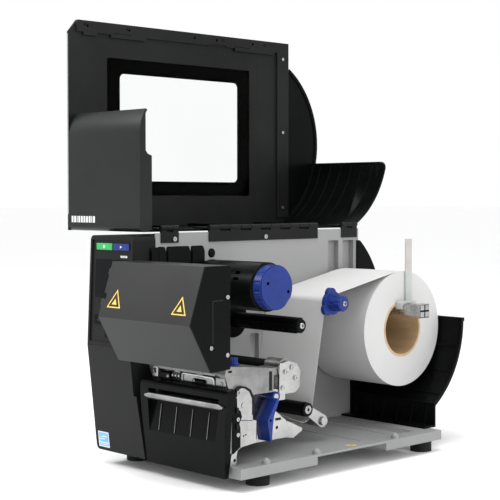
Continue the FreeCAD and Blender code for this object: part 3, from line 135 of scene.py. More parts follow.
def finish(name, dark, light, rough, patch, grain=0.0, bump=0.0, depth=0.05, stretch=(1, 1, 1), edge=None,
           edge_radius=0.5, **shader):
    """A procedural finish: broad tone changes, a fine grain in its gloss and bump, and lighter edges, part
    rubbed wear and part painted highlight.

    patch and grain are the sizes of the broad and the fine pattern, as cycles to the metre. depth and
    edge_radius are in millimetres. What is left over is set on the shader's own sockets."""
    made = bpy.data.materials.new(name)
    made.use_nodes = True
    tree = made.node_tree
    skin = tree.nodes["Principled BSDF"]
    place = add(tree, "TexCoord").outputs["Object"]
    place = add(tree, "Mapping", {"Vector": place, "Scale": stretch}).outputs["Vector"]
    broad = add(tree, "TexNoise", {"Vector": place, "Scale": patch, "Detail": 4.0, "Roughness": 0.6})
    tone = ranged(tree, broad.outputs["Fac"], 0, 1, 0.3, 0.7)
    colour = blend_colour(tree, tone, dark, light)
    fine = add(tree, "TexNoise", {"Vector": place, "Scale": grain or patch * 9, "Detail": 3.0})
    gloss = add(tree, "Math", {0: broad.outputs["Fac"], 1: fine.outputs["Fac"]}, operation="ADD")
    roughness = ranged(tree, gloss.outputs["Value"], *rough, 0.75, 1.25)
    tree.links.new(roughness, skin.inputs["Roughness"])
    normal = None
    if edge:
        # The edge colour lightens the rounded edges: part rubbed wear, part a painted highlight where the
        # edges catch the light.
        round_off = add(tree, "Bevel", {"Radius": edge_radius * MM}, samples=4)
        normal = round_off.outputs["Normal"]
        face = add(tree, "NewGeometry").outputs["Normal"]
        turn = add(tree, "VectorMath", {0: normal, 1: face}, operation="DOT_PRODUCT")
        edge_rub_and_highlight = ranged(tree, turn.outputs["Value"], 1, 0, 0.80, 0.985)
        worn_and_highlit = add(tree, "Math", {0: edge_rub_and_highlight, 1: ranged(tree, fine.outputs["Fac"], 0.55, 1.0, 0.35, 0.65)},
                   operation="MULTIPLY")
        colour = blend_colour(tree, worn_and_highlit.outputs["Value"], colour, edge)
    tree.links.new(colour, skin.inputs["Base Color"])
    if bump:
        raised = {"Height": fine.outputs["Fac"], "Strength": bump, "Distance": depth * MM}
        if normal:
            raised["Normal"] = normal
        normal = add(tree, "Bump", raised).outputs["Normal"]
    if normal:
        tree.links.new(normal, skin.inputs["Normal"])
    for socket, value in shader.items():
        skin.inputs[socket.replace("_", " ")].default_value = value
    return made


# The labels' white paper, as the words of finish, and its gloss.
PAPER = ((0.53, 0.53, 0.527), (0.57, 0.57, 0.567), (0.55, 0.68), 10, 1900, 0.08, 0.03)
PAPER_GLOSS = 0.3


def make_finishes():
    """Every finish by name: the record's slots first, then those of the small parts."""
    made = {}

    def keep(name, *words, **more):
        made[name] = finish(name, *words, **more)

    keep("pan_paint", (0.235, 0.237, 0.238), (0.275, 0.277, 0.278), (0.42, 0.55), 5, 1500, 0.12, 0.06,
         edge=(0.42, 0.42, 0.42), edge_radius=0.8, Specular_IOR_Level=0.3)
    keep("plate_paint", (0.275, 0.276, 0.277), (0.315, 0.316, 0.317), (0.40, 0.50), 4, 1600, 0.12, 0.05,
         edge=(0.48, 0.48, 0.48), edge_radius=0.5, Specular_IOR_Level=0.3)
    keep("rubber", (0.007, 0.007, 0.007), (0.016, 0.016, 0.016), (0.62, 0.8), 40, 2500, 0.3, 0.05,
         edge=(0.04, 0.04, 0.04), Specular_IOR_Level=0.2)
    keep("black_plastic", (0.0018, 0.0020, 0.0020), (0.0034, 0.0037, 0.0037), (0.22, 0.34), 8, 2600, 0.10,
         0.03, edge=(0.022, 0.024, 0.023), edge_radius=0.5, Specular_IOR_Level=0.06)
    keep("front_plastic", (0.0078, 0.0098, 0.0094), (0.0118, 0.0142, 0.0137), (0.26, 0.36), 6, 2400, 0.12,
         0.03, edge=(0.06, 0.065, 0.064), edge_radius=0.6, Specular_IOR_Level=0.2)
    keep("dark_sheet", (0.0090, 0.0099, 0.0092), (0.0130, 0.0141, 0.0132), (0.34, 0.46), 6, 2200, 0.16,
         0.05, edge=(0.12, 0.125, 0.12), edge_radius=0.6, Specular_IOR_Level=0.25)
    keep("black_metal", (0.0075, 0.0078, 0.0078), (0.0125, 0.0129, 0.0129), (0.34, 0.46), 9, 2200, 0.14,
         0.04, edge=(0.040, 0.040, 0.040), edge_radius=0.5, Specular_IOR_Level=0.11)
    keep("bright_steel", (0.30, 0.30, 0.30), (0.52, 0.52, 0.51), (0.20, 0.34), 22, 900, 0.10, 0.03,
         stretch=(0.15, 1, 1), edge=(0.80, 0.80, 0.80), edge_radius=0.3, Metallic=1.0)
    keep("cast_alloy", (0.17, 0.17, 0.17), (0.32, 0.32, 0.315), (0.36, 0.52), 35, 1100, 0.40, 0.12,
         edge=(0.62, 0.62, 0.61), edge_radius=0.5, Metallic=1.0)
    keep("zinc_sheet", (0.15, 0.155, 0.16), (0.36, 0.365, 0.37), (0.24, 0.42), 60, 700, 0.16, 0.04,
         edge=(0.65, 0.65, 0.65), edge_radius=0.4, Metallic=1.0)
    keep("pale_plastic", (0.36, 0.36, 0.355), (0.45, 0.45, 0.44), (0.22, 0.32), 14, 1800, 0.08, 0.03,
         edge=(0.75, 0.75, 0.75), Subsurface_Weight=0.2)
    keep("blue_plastic", (0.010, 0.026, 0.16), (0.014, 0.034, 0.21), (0.26, 0.36), 20, 2400, 0.10, 0.03,
         edge=(0.045, 0.09, 0.42), edge_radius=0.6, Specular_IOR_Level=0.22)
    # The green cap gives off a faint glow of its own through its emission sockets: painted light that
    # brightens it.
    keep("green_cap", (0.015, 0.24, 0.06), (0.03, 0.34, 0.09), (0.2, 0.3), 60, 2600, 0.06, 0.02,
         edge=(0.2, 0.6, 0.3), Emission_Color=(0.05, 0.6, 0.15, 1), Emission_Strength=0.12)
    keep("blue_cap", (0.008, 0.020, 0.13), (0.012, 0.030, 0.20), (0.2, 0.3), 60, 2600, 0.06, 0.02,
         edge=(0.06, 0.12, 0.4), Specular_IOR_Level=0.3)
    keep("display_face", (0.003, 0.0035, 0.004), (0.006, 0.0065, 0.007), (0.05, 0.10), 12, 900, 0.03, 0.02,
         edge=(0.03, 0.03, 0.03), Specular_IOR_Level=0.08)
    keep("belt_rubber", (0.010, 0.010, 0.011), (0.018, 0.018, 0.019), (0.6, 0.75), 60, 2600, 0.3, 0.05)
    keep("circuit_green", (0.010, 0.075, 0.030), (0.018, 0.11, 0.045), (0.3, 0.5), 120, 2200, 0.2, 0.05,
         edge=(0.30, 0.32, 0.16), edge_radius=0.3)
    keep("label_paper", *PAPER, Specular_IOR_Level=PAPER_GLOSS)
    keep("core_card", (0.42, 0.29, 0.165), (0.58, 0.41, 0.24), (0.6, 0.8), 55, 1300, 0.4, 0.08,
         stretch=(0.3, 1, 1), edge=(0.58, 0.42, 0.27), edge_radius=0.4, Specular_IOR_Level=0.2)
    keep("pale_ink", (0.58, 0.58, 0.58), (0.70, 0.70, 0.70), (0.35, 0.5), 60, 2600, 0.05, 0.02)
    keep("label_blue", (0.10, 0.36, 0.62), (0.16, 0.44, 0.70), (0.3, 0.45), 60, 2600, 0.05, 0.02)
    keep("label_yellow", (0.62, 0.42, 0.05), (0.78, 0.55, 0.10), (0.35, 0.5), 60, 2600, 0.06, 0.02)
    keep("shadow", (0.0025, 0.0025, 0.0025), (0.0050, 0.0050, 0.0050), (0.5, 0.7), 60, 2600, 0.1, 0.02,
         Specular_IOR_Level=0.1)
    keep("clear_pane", (0.93, 0.95, 0.95), (0.97, 0.98, 0.98), (0.02, 0.05), 3, 40, 0.01, 0.01,
         Transmission_Weight=1.0, IOR=1.12)
    return made


# Nodes whose look differs from that of their slot.
OTHER_FINISH = {"hinge_pins": "black_metal", "tear_bar": "cast_alloy", "cover_side_panel": "black_metal",
                "front_bezel": "black_metal", "validator_side_plate": "black_plastic"}


def wound_paper():
    """The roll's paper: the labels' white, with the faint rings of its turns on the end faces."""
    made = finish("wound_paper", *PAPER, Specular_IOR_Level=PAPER_GLOSS)
    tree = made.node_tree
    skin = tree.nodes["Principled BSDF"]
    low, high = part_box("label_roll")
    centre = (low + high) / 2
    place = add(tree, "TexCoord").outputs["Object"]
    place = add(tree, "Mapping", {"Vector": place, "Location": -centre}).outputs["Vector"]
    winding = {"Vector": place, "Scale": 95.0, "Distortion": 0.25, "Detail": 2.0, "Detail Scale": 3.0}
    rings = add(tree, "TexWave", winding, wave_type="RINGS", rings_direction="X")
    shade = ranged(tree, rings.outputs["Fac"], 0.0, 0.10)
    plain = skin.inputs["Base Color"].links[0].from_socket
    tree.links.new(blend_colour(tree, shade, plain, (0.42, 0.42, 0.42)), skin.inputs["Base Color"])
    return made


def paint_nodes(finishes):
    """Each CAD node's slots take the finish that has the slot's name, but for the nodes in OTHER_FINISH."""
    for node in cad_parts.values():
        for slot in node.material_slots:
            slot.material = finishes[slot.material.name.split(".")[0]]
    for node, look in OTHER_FINISH.items():
        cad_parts[node].material_slots[0].material = finishes[look]
    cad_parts["label_roll"].material_slots[0].material = wound_paper()


# ---------------------------------------------------------------- shapes for the small parts

# Small parts are placed in millimetres from a datum: X from the media side of the centre plate,
# Y from the rear of the front moulding, and Z from the floor.
DATUM = Vector((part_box("centre_plate")[1].x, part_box("front_bezel")[1].y, 0))


def limits(node):
    """A node's lowest and highest corners, in millimetres from the datum."""
    return tuple((corner - DATUM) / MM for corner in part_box(node))


def spot(axis, u, v, w):
    """The point at (u, v) across an axis and at w along it."""
    order = {"x": (w, u, v), "y": (u, w, v), "z": (u, v, w)}[axis]
    return DATUM + Vector(order) * MM


def prism(outline, axis, low, high, hole=None):
    """A solid with one outline, drawn along an axis from low to high.

    A hole has as many points as the outline, in the same order."""
    shape = bmesh.new()
    rings = []
    for loop in (outline, hole) if hole else (outline,):
        rings.append([[shape.verts.new(spot(axis, u, v, w)) for u, v in loop] for w in (low, high)])
    count = len(outline)
    for ring in rings:
        for i in range(count):
            j = (i + 1) % count
            shape.faces.new((ring[0][i], ring[0][j], ring[1][j], ring[1][i]))
    for end in (0, 1):
        if hole:
            outer, inner = rings[0][end], rings[1][end]
            for i in range(count):
                j = (i + 1) % count
                shape.faces.new((outer[i], outer[j], inner[j], inner[i]))
        else:
            shape.faces.new(rings[0][end])
    bmesh.ops.recalc_face_normals(shape, faces=shape.faces)
    return shape


def oblong(u, v):
    """The outline of a rectangle between limits."""
    return [(u[0], v[0]), (u[1], v[0]), (u[1], v[1]), (u[0], v[1])]


def block(x, y, z):
    """A box between limits, as a prism along Z."""
    return prism(oblong(x, y), "z", *z)


def circle(centre, radius, count):
    """Points evenly round a centre."""
    turns = [math.tau * i / count for i in range(count)]
    return [(centre[0] + radius * math.cos(turn), centre[1] + radius * math.sin(turn)) for turn in turns]


def turned(profile, axis, centre, sides=32):
    """A turned solid: its profile is a list of (place along the axis, radius)."""
    shape = bmesh.new()
    rings = []
    for w, radius in profile:
        rings.append([shape.verts.new(spot(axis, u, v, w)) for u, v in circle(centre, radius, sides)])
    for near, far in zip(rings, rings[1:]):
        for i in range(sides):
            j = (i + 1) % sides
            shape.faces.new((near[i], near[j], far[j], far[i]))
    shape.faces.new(rings[0])
    shape.faces.new(rings[-1])
    bmesh.ops.recalc_face_normals(shape, faces=shape.faces)
    return shape


def put(name, shape, look, body, round_by=0.2):
    """A piece from a shape: smooth shading, rounded edges, its finish, and the body it rides on."""
    mesh = bpy.data.meshes.new(name)
    shape.to_mesh(mesh)
    shape.free()
    for face in mesh.polygons:
        face.use_smooth = True
    mesh.set_sharp_from_angle(angle=math.radians(35))
    mesh.materials.append(FINISHES[look])
    piece = bpy.data.objects.new(name, mesh)
    bpy.context.scene.collection.objects.link(piece)
    if round_by:
        rounding = piece.modifiers.new("round", "BEVEL")
        rounding.width = round_by * MM
        rounding.segments = 2
        rounding.limit_method = "ANGLE"
        rounding.harden_normals = True
    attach(piece, body)
    return piece


def put_screw(name, axis, centre, base, radius, body, outward=1, look="bright_steel"):
    """A pan-head screw with a cross recess drawn as two dark bars on its top."""
    rise = radius * 0.55 * outward
    shoulder, rim = base + rise * 0.5, base + rise * 0.9
    head = [(base, radius), (shoulder, radius), (rim, radius * 0.82), (base + rise, radius * 0.6)]
    put(name, turned(head, axis, centre, 24), look, body, 0)
    top = sorted((rim, base + rise + 0.08 * outward))
    long, short = radius * 0.55, radius * 0.14
    for index, (wide, tall) in enumerate(((long, short), (short, long))):
        u, v = centre
        bar = oblong((u - wide, u + wide), (v - tall, v + tall))
        put(name + "_recess_" + str(index), prism(bar, axis, *top), "shadow", body, 0)


# ---------------------------------------------------------------- small parts of the front


def bar_row(name, axis, start, pitch, widths, rise, face, look, body):
    """A row of short plain bars on a face, where the real machine has lettering."""
    along = start
    for index, width in enumerate(widths):
        bar = oblong((along, along + width), rise)
        put(name + "_" + str(index), prism(bar, axis, *face), look, body, 0.05)
        along += width + pitch


def mark_buttons():
    """Plain pale marks on the buttons and keys: bars on the green one, and triangles on the others."""
    front = limits("green_button")[0].y
    for index, x in enumerate((-65.0, -62.2)):
        bar = prism(oblong((x, x + 1.3), (299.9, 304.2)), "y", front - 0.15, front + 0.3)
        put("green_mark_" + str(index), bar, "pale_ink", "green_button_body", 0.05)
    marks = {"blue_button": [(-28.0, 300.0), (-24.0, 302.0), (-28.0, 304.0)],
             "key_left": [(-69.0, 199.5), (-73.5, 202.0), (-69.0, 204.5)],
             "key_right": [(-22.0, 199.5), (-17.5, 202.0), (-22.0, 204.5)],
             "key_up": [(-48.0, 217.5), (-43.0, 217.5), (-45.5, 221.5)],
             "key_down": [(-48.0, 186.5), (-43.0, 186.5), (-45.5, 182.5)]}
    for key, outline in marks.items():
        front = limits(key)[0].y
        look = "pale_ink" if key == "blue_button" else "dark_sheet"
        put(key + "_mark", prism(outline, "y", front - 0.15, front + 0.3), look, key + "_body", 0.05)


def add_badges():
    """Plain bars where the real machine has lettering, on the front moulding and on the cover's front."""
    face = limits("green_button")[0].y + 0.55
    bar_row("panel_bar", "y", -27.5, 1.0, (2.4, 1.4, 2.4, 1.4, 2.4), (287.6, 290.6), (face, face + 0.55),
            "pale_ink", "chassis")
    front = limits("cover_front_panel")[0].y
    wide, narrow = 4.2, 2.0
    widths = (wide, wide, narrow, wide, wide, wide, wide, wide, narrow, wide)
    bar_row("cover_bar", "y", -162.5, 1.9, widths, (333.5, 342.5), (front - 0.15, front + 0.4), "pale_ink",
            "media_cover")


def add_panel_label():
    """A small blue and white label at the foot of the front moulding, with plain shapes on it."""
    lean = 0.1095
    foot_z = limits("front_bezel")[0].z
    foot_y = -29.0

    def layer(name, x, z, lift, look):
        low, high = (foot_y - lean * (value - foot_z) for value in z)
        outline = [(low - lift, z[0]), (high - lift, z[1]), (high + 0.4, z[1]), (low + 0.4, z[0])]
        put(name, prism(outline, "x", *x), look, "chassis", 0.03)

    layer("label_sheet", (-87.0, -63.5), (24.5, 46.0), 0.12, "pale_ink")
    layer("label_field", (-85.6, -64.9), (31.5, 44.6), 0.20, "label_blue")
    layer("label_band", (-85.6, -64.9), (26.0, 30.2), 0.20, "label_blue")
    layer("label_hill", (-83.0, -72.0), (35.0, 36.6), 0.28, "pale_ink")
    layer("label_ridge", (-79.0, -68.0), (38.6, 40.2), 0.28, "pale_ink")
    layer("label_line", (-83.5, -67.0), (27.6, 28.6), 0.28, "pale_ink")


HOOD_TOP, HOOD_NOSE = (-72.0, 285.0), (-96.0, 214.0)      # the ends of the hood's upper facet, as (y, z)


def on_hood(down, lift):
    """The (y, z) point at a distance down the hood's upper facet and a height off it."""
    run, fall = HOOD_NOSE[0] - HOOD_TOP[0], HOOD_NOSE[1] - HOOD_TOP[1]
    length = math.hypot(run, fall)
    along, across = (run * down + fall * lift) / length, (fall * down - run * lift) / length
    return (HOOD_TOP[0] + along, HOOD_TOP[1] + across)


def hood_shape(outline, lift, hole=None):
    """A thin sheet on the hood's upper facet. Its outline is in (x, distance down the facet)."""
    shape = prism(outline, "z", 0.0, 1.0, hole)
    for point in shape.verts:
        x, down, side = (point.co - DATUM) / MM
        y, z = on_hood(down, lift if side > 0.5 else -0.1)
        point.co = DATUM + Vector((x, y, z)) * MM
    bmesh.ops.recalc_face_normals(shape, faces=shape.faces)
    return shape


SCOOP_RIBS = (44.7, 76.0, 107.3, 139.0)                    # X of each rib in the front door's scoop
DUCT_BLOCKS = ((-9.5, 2.6), (3.4, 16.1), (19.4, 59.6), (63.4, 85.6))    # Y limits, from the front
HINGES = ((9.0, 40.0), (96.0, 316.0), (370.0, 405.0))      # Y limits of the cover's three hinges


def add_scoop_glints():
    """Pale strips along the crests of the ribs in the scoop of the front door: painted highlights standing in
    for the glints on the ribs.
    """
    for index, x in enumerate(SCOOP_RIBS):
        # The strips are light grey paint on the door's own dark plastic: painted highlights, not a part of
        # their own.
        glint_outline = [(-32.56, 64.0), (-27.76, 98.0), (-27.5, 98.0), (-32.3, 64.0)]
        put("scoop_glint_" + str(index), prism(glint_outline, "x", x + 0.3, x + 0.9), "pan_paint", "chassis", 0)


def add_hood_parts():
    """Two plain yellow triangles, the seam of the hood's side with a lighter strip beside it as a painted
    highlight, and the tabs at its left edge.
    """
    marks = (("left", 12.2, 40.1, 36.8, 61.4), ("right", 141.2, 168.8, 38.8, 62.6))
    for name, left, right, top, foot in marks:
        middle = (left + right) / 2
        outer = [(left, foot), (right, foot), (middle, top)]
        inner = [(left + 2.9, foot - 1.5), (right - 2.9, foot - 1.5), (middle, top + 3.4)]
        put("hood_triangle_" + name, hood_shape(outer, 0.15, inner), "label_yellow", "chassis", 0)
        core = [(middle - 4.8, foot - 4.4), (middle + 4.8, foot - 4.4), (middle, foot - 12.5)]
        put("hood_triangle_core_" + name, hood_shape(core, 0.15), "label_yellow", "chassis", 0)
    side = limits("validator_side_plate")[1].x
    face = (side - 0.4, side + 0.12)
    seams = (("down", (-60.8, -60.0), (190.5, 243.4)), ("across", (-60.8, -43.0), (242.7, 243.4)))
    for name, y, z in seams:
        put("hood_seam_" + name, prism(oblong(y, z), "x", *face), "shadow", "chassis", 0.05)
    # A lighter strip along the seam on the black side plate: a painted highlight on the seam's edge.
    seam_highlight_outline = [(-60.0, 190.5), (-59.6, 190.5), (-59.6, 242.3), (-43.0, 242.3), (-43.0, 242.7), (-60.0, 242.7)]
    put("hood_seam_lip", prism(seam_highlight_outline, "x", *face), "dark_sheet", "chassis", 0.03)
    for index, (near, far) in enumerate(((9.0, 17.0), (50.0, 58.0))):
        tab = [on_hood(near, -2.0), on_hood(far, -2.0), on_hood(far - 1.5, -6.0), on_hood(near + 1.5, -6.0)]
        put("hood_tab_" + str(index), prism(tab, "x", -5.5, 1.0), "dark_sheet", "chassis", 0.3)


def add_plate_parts():
    """What fills the centre plate's openings, and the dark strips behind the hinges."""
    for index, y in enumerate(DUCT_BLOCKS):
        deep = 0.1 if index == 0 else -2.2
        profile = [(deep, 264.6), (3.2, 264.6), (4.2, 266.0), (4.2, 294.5), (0.6, 301.4), (deep, 301.4)]
        put("duct_block_" + str(index), prism(profile, "y", *y), "black_plastic", "chassis", 0.5)
        rib = oblong((y[0] + 1.2, y[1] - 1.2), (283.0, 283.7))
        put("duct_rib_" + str(index), prism(rib, "x", 4.0, 4.7), "black_plastic", "chassis", 0.1)
    for index, y in enumerate(HINGES):
        strip = [(-1.6, 320.2), (-0.2, 320.2), (-0.2, 322.4), (-0.7, 323.0), (-1.6, 323.0)]
        put("hinge_shield_" + str(index), prism(strip, "y", *y), "black_metal", "chassis", 0.1)
    dome = [(-2.0, 6.3), (0.8, 6.3), (1.6, 5.6), (2.1, 4.2), (2.3, 1.5)]
    put("plate_cap", turned(dome, "x", (101.5, 291.0)), "black_plastic", "chassis", 0)


def add_pan_parts():
    """A plain yellow mark and two low ridges on the base pan."""
    mark = [(166.0, 196.0), (176.5, 197.0), (178.5, 209.5), (168.0, 209.0)]
    top = limits("mechanism_frame")[0].z
    put("pan_mark", prism(mark, "z", top - 0.2, top + 0.15), "label_yellow", "chassis", 0.03)
    core = [(170.3, 200.0), (174.6, 200.6), (172.8, 206.8)]
    put("pan_mark_core", prism(core, "z", top - 0.1, top + 0.3), "shadow", "chassis", 0.03)
    for index, y in enumerate((235.0, 300.0)):
        ridge = oblong((6.0, 160.0), (y, y + 1.6))
        put("pan_ridge_" + str(index), prism(ridge, "z", top - 0.3, top + 0.7), "pan_paint", "chassis", 0.3)


# ---------------------------------------------------------------- small parts of the mechanism


def add_head_parts():
    """What shows of the head's front between the hood and the door: sheet, clips, spring and screws."""
    body = "print_head"
    sheet = [(77.0, 131.5), (77.0, 139.5), (80.0, 142.0), (137.5, 141.0), (140.2, 138.0), (140.2, 131.5)]
    inner = [(78.6, 131.5), (78.6, 139.0), (80.8, 140.4), (136.8, 139.4), (138.6, 137.2), (138.6, 131.5)]
    put("head_sheet", prism(sheet, "y", -18.5, -17.0), "zinc_sheet", body)
    put("head_sheet_rim", prism(sheet, "y", -20.0, -18.4, inner), "bright_steel", body, 0.15)
    put("head_rail", block((30.0, 141.0), (-19.6, -17.0), (143.2, 146.6)), "cast_alloy", body)
    for name, x, z in (("left", (35.0, 54.5), (131.8, 141.0)), ("right", (99.0, 121.5), (131.8, 136.6))):
        clip = [(-21.4, z[0]), (-17.2, z[0]), (-17.2, z[1]), (-19.6, z[1]), (-21.4, z[1] - 2.2)]
        put("head_clip_" + name, prism(clip, "x", *x), "black_plastic", body, 0.3)
    put_screw("head_clip_screw", "y", (51.2, 134.6), -21.4, 2.3, body, -1)
    put_screw("head_clip_screw_b", "y", (103.0, 134.2), -21.4, 1.7, body, -1)
    put("head_post", block((19.0, 29.5), (-20.6, -17.5), (131.8, 146.0)), "bright_steel", body, 0.4)
    put("head_post_slot", block((22.5, 25.5), (-20.9, -20.4), (136.0, 143.0)), "shadow", body, 0)
    put("head_end", block((142.5, 160.0), (-19.8, -17.2), (131.8, 141.5)), "zinc_sheet", body, 0.4)
    put_screw("head_end_screw", "y", (154.0, 135.0), -19.8, 2.4, body, -1)
    for index, x in enumerate((60.0, 66.0, 72.0)):
        ring = [(x, 3.4), (x + 0.3, 4.0), (x + 2.2, 4.0), (x + 2.5, 3.4)]
        put("head_spring_" + str(index), turned(ring, "x", (-18.6, 137.0), 20), "bright_steel", body, 0)
    side = limits("head_carrier")[1].x
    web = [(-12.0, 145.5), (56.0, 139.5), (56.0, 140.7), (-12.0, 146.7)]
    put("carrier_ridge", prism(web, "x", side - 0.3, side + 0.3), "cast_alloy", body, 0.15)
    step = [(56.0, 119.0), (61.5, 119.0), (61.5, 144.0), (56.0, 144.5)]
    put("carrier_step", prism(step, "x", side - 0.3, side + 0.3), "black_metal", body, 0.15)
    put("nose_trim", block((30.0, 150.0), (-20.4, -18.0), (147.0, 149.0)), "black_metal", body, 0.3)


def add_side_parts():
    """The strip, the dark guard, the screws and the spring on the mechanism's outer side plate."""
    outer = limits("latch_plate")[0].x
    strip = [(-16.2, 47.0), (-12.2, 47.0), (-12.2, 94.0), (-16.2, 93.0)]
    put("edge_strip", prism(strip, "x", outer - 1.4, outer + 0.2), "zinc_sheet", "chassis", 0.3)
    guard_out = [(-7.5, 118.0), (-5.0, 127.5), (2.5, 131.2), (11.0, 129.5), (19.5, 124.8), (25.2, 114.0),
                 (25.2, 92.0)]
    guard_in = [(23.2, 92.0), (23.0, 113.0), (18.0, 122.2), (10.0, 127.0), (3.0, 128.4), (-3.6, 125.5),
                (-6.0, 118.0)]
    guard = prism(guard_out + guard_in, "x", outer - 2.6, outer + 1.2)
    put("edge_guard", guard, "black_metal", "chassis", 0.3)
    line = [(2.0, 87.0), (23.4, 84.6), (23.4, 85.4), (2.0, 87.8)]
    put("side_plate_fold", prism(line, "x", outer - 0.2, outer + 0.12), "shadow", "chassis", 0.05)
    for index, centre in enumerate(((7.5, 67.0), (11.5, 68.0))):
        pin = turned([(outer - 0.2, 1.0), (outer + 0.3, 1.0)], "x", centre, 16)
        put("side_pin_" + str(index), pin, "shadow", "chassis", 0)
    put_screw("post_screw", "x", (-2.2, 123.0), outer + 0.1, 3.0, "chassis")
    for index, z in enumerate((79.0, 82.5, 99.5, 103.0)):
        coil = [(outer + 1.8, 1.9), (outer + 2.4, 2.3), (outer + 3.4, 2.3), (outer + 4.0, 1.9)]
        put("latch_coil_" + str(index), turned(coil, "x", (-6.0, z), 16), "black_metal", "chassis", 0)
    put_screw("foot_screw", "x", (-8.0, 38.1), outer - 1.15, 2.6, "chassis", look="black_metal")
    web = limits("mechanism_frame")[0].x + 140.0
    put_screw("slot_screw", "x", (93.5, 75.3), web - 1.0, 2.0, "chassis", look="black_metal")
    hub = [(web - 0.5, 5.2), (web + 8.0, 5.2), (web + 8.6, 4.4), (web + 9.0, 3.2)]
    put("web_stud", turned(hub, "x", (26.5, 100.5), 20), "bright_steel", "chassis", 0)


def centre_line(node):
    """The (y, z) place of a round node's axis, which lies along X."""
    low, high = limits(node)
    return ((low + high) / 2).yz


def add_ribbon_parts():
    """The end fittings of the two ribbon spindles."""
    axis = centre_line("supply_spindle")
    tip = limits("supply_spindle")[1].x
    collar = turned([(tip - 0.2, 9.0), (tip + 1.6, 9.0), (tip + 2.2, 8.2)], "x", axis)
    put("supply_collar", collar, "black_plastic", "ribbon_supply", 0)
    put_screw("supply_screw", "x", axis, tip + 2.2, 4.2, "ribbon_supply")
    face = limits("takeup_knob")[1].x
    ring = [(face - 0.2, 26.6), (face + 0.25, 26.2), (face + 0.25, 25.8), (face - 0.2, 25.4)]
    put("knob_ring", turned(ring, "x", centre_line("takeup_knob")), "blue_plastic", "ribbon_takeup", 0)


def add_guide_parts():
    """The ribbed blue hub of the web guide, with its cap and screw."""
    axis = centre_line("upper_guide_rod")
    start, stop = limits("guide_collar")[1].x - 0.3, limits("upper_guide_rod")[1].x + 0.4
    bore, hub, rib, corners = 8.3, 10.2, 0.9, 48
    sleeve_in = circle(axis, bore, corners)
    valleys, crests = circle(axis, hub, corners), circle(axis, hub + rib, corners)
    sleeve_out = [crests[i] if i % 4 < 2 else valleys[i] for i in range(corners)]
    put("collar_sleeve", prism(sleeve_out, "x", start, stop, sleeve_in), "blue_plastic", "web_guide", 0.2)
    cap = turned([(stop - 0.1, 10.0), (stop + 1.0, 9.6), (stop + 1.4, 8.6)], "x", axis)
    put("collar_cap", cap, "blue_plastic", "web_guide", 0)
    put_screw("collar_screw", "x", axis, stop + 1.4, 4.0, "web_guide")


def add_hanger_parts():
    """The pads and the dark gap on the hanger's end, and the slot and the screw of the roll guide."""
    end = limits("hanger_arm")[1].x
    for index, (y, z) in enumerate(((368.0, 194.0), (379.2, 194.0), (368.0, 204.0), (379.2, 204.0))):
        pad = prism(oblong((y, y + 8.6), (z, z + 7.6)), "x", end - 0.2, end + 1.0)
        put("hanger_pad_" + str(index), pad, "bright_steel", "chassis", 0.5)
    gap = oblong((367.5, 388.5), (193.0, 212.0))
    put("hanger_gap", prism(gap, "x", end - 0.3, end + 0.2), "shadow", "chassis", 0)
    clip = limits("hanger_guide")[1].x
    slot = oblong((362.0, 370.0), (204.0, 211.5))
    put("clip_slot", prism(slot, "x", clip - 0.3, clip + 0.15), "shadow", "roll_guide", 0)
    put_screw("clip_screw", "x", (379.5, 199.0), clip, 2.2, "roll_guide")


def add_damper_parts():
    """The black ring and the bright nut at the outer end of the damper's roller."""
    arm = limits("damper_arms")[1].x
    roller = centre_line("damper_roller")
    ring = turned([(arm, 9.5), (arm + 2.2, 9.5), (arm + 2.6, 9.0)], "x", roller)
    put("damper_ring", ring, "black_plastic", "damper", 0)
    nut = turned([(arm + 2.5, 6.0), (arm + 3.0, 6.0), (arm + 3.3, 5.2)], "x", roller)
    put("damper_nut", nut, "bright_steel", "damper", 0)
    recess = turned([(arm + 3.2, 2.4), (arm + 3.4, 2.4)], "x", roller, 6)
    put("damper_nut_recess", recess, "shadow", "damper", 0)


# ---------------------------------------------------------------- small parts of the cover and the rear


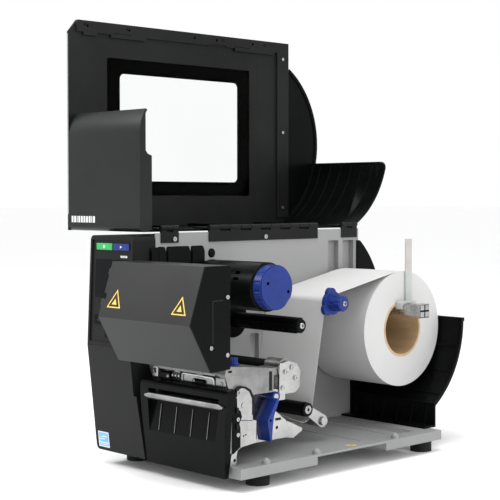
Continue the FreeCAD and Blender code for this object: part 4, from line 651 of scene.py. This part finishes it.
def add_cover_parts():
    """Stiffener plates, dimples and a fold on the inside of the open cover, and a pale strip on its front edge
    as a painted highlight.
    """
    face = limits("cover_side_panel")[1].x
    for index, y in enumerate(((4.5, 29.0), (54.0, 118.0), (301.0, 388.0))):
        plate = prism(oblong(y, (601.5, 607.5)), "x", face - 1.6, face + 0.35)
        put("stiffener_" + str(index), plate, "black_metal", "media_cover", 0.3)
    for index, (y, z) in enumerate(((7.3, 617.0), (84.5, 616.5), (275.0, 616.5), (366.6, 616.0))):
        dimple = turned([(face - 0.3, 2.4), (face + 0.3, 2.4), (face + 0.5, 1.6)], "x", (y, z), 20)
        put("dimple_" + str(index), dimple, "shadow", "media_cover", 0)
    outside, near = limits("cover_side_panel")[0].x, limits("cover_side_panel")[0].y
    # A light grey strip along the cover's front edge: a painted highlight where the rounded edge catches the
    # light.
    edge = oblong((outside + 0.2, outside + 2.6), (near - 0.4, near + 0.3))
    put("cover_edge_highlight", prism(edge, "z", 345.0, 602.0), "pan_paint", "media_cover", 0.15)
    inside = outside + 3.0
    fold = oblong((354.0, 355.0), (337.0, 600.0))
    put("panel_fold", prism(fold, "x", inside - 0.2, inside + 0.25), "black_metal", "media_cover", 0.1)


def add_rear_parts():
    """Screws and a rating plate with plain lines on the rear, and screws on the left side."""
    rear = limits("rear_panel")[1].y
    for index, (x, z) in enumerate(((-86.0, 36.5), (-8.0, 36.5), (-86.0, 309.5), (-8.0, 309.5))):
        put_screw("rear_screw_" + str(index), "y", (x, z), rear, 2.8, "chassis")
    plate = oblong((-86.0, -50.0), (206.0, 238.0))
    put("rating_plate", prism(plate, "y", rear - 0.1, rear + 0.3), "zinc_sheet", "chassis", 0.1)
    for index in range(5):
        start, length = -83.0, 30.0 - 5.0 * (index % 3)
        z = 210.0 + 5.2 * index
        line = oblong((start, start + length), (z, z + 1.6))
        put("rating_line_" + str(index), prism(line, "y", rear + 0.2, rear + 0.42), "shadow", "chassis", 0)
    left = limits("electronics_cover")[0].x
    screws = ((14.0, 28.0), (200.0, 28.0), (396.0, 28.0), (14.0, 306.0), (396.0, 306.0))
    for index, (y, z) in enumerate(screws):
        put_screw("side_screw_" + str(index), "x", (y, z), left, 3.0, "chassis", -1, "black_metal")


# ---------------------------------------------------------------- the scene

make_camera()
make_studio()
FINISHES = make_finishes()
paint_nodes(FINISHES)
mark_buttons()
add_badges()
add_panel_label()
add_scoop_glints()
add_hood_parts()
add_plate_parts()
add_pan_parts()
add_head_parts()
add_side_parts()
add_ribbon_parts()
add_guide_parts()
add_hanger_parts()
add_damper_parts()
add_cover_parts()
add_rear_parts()
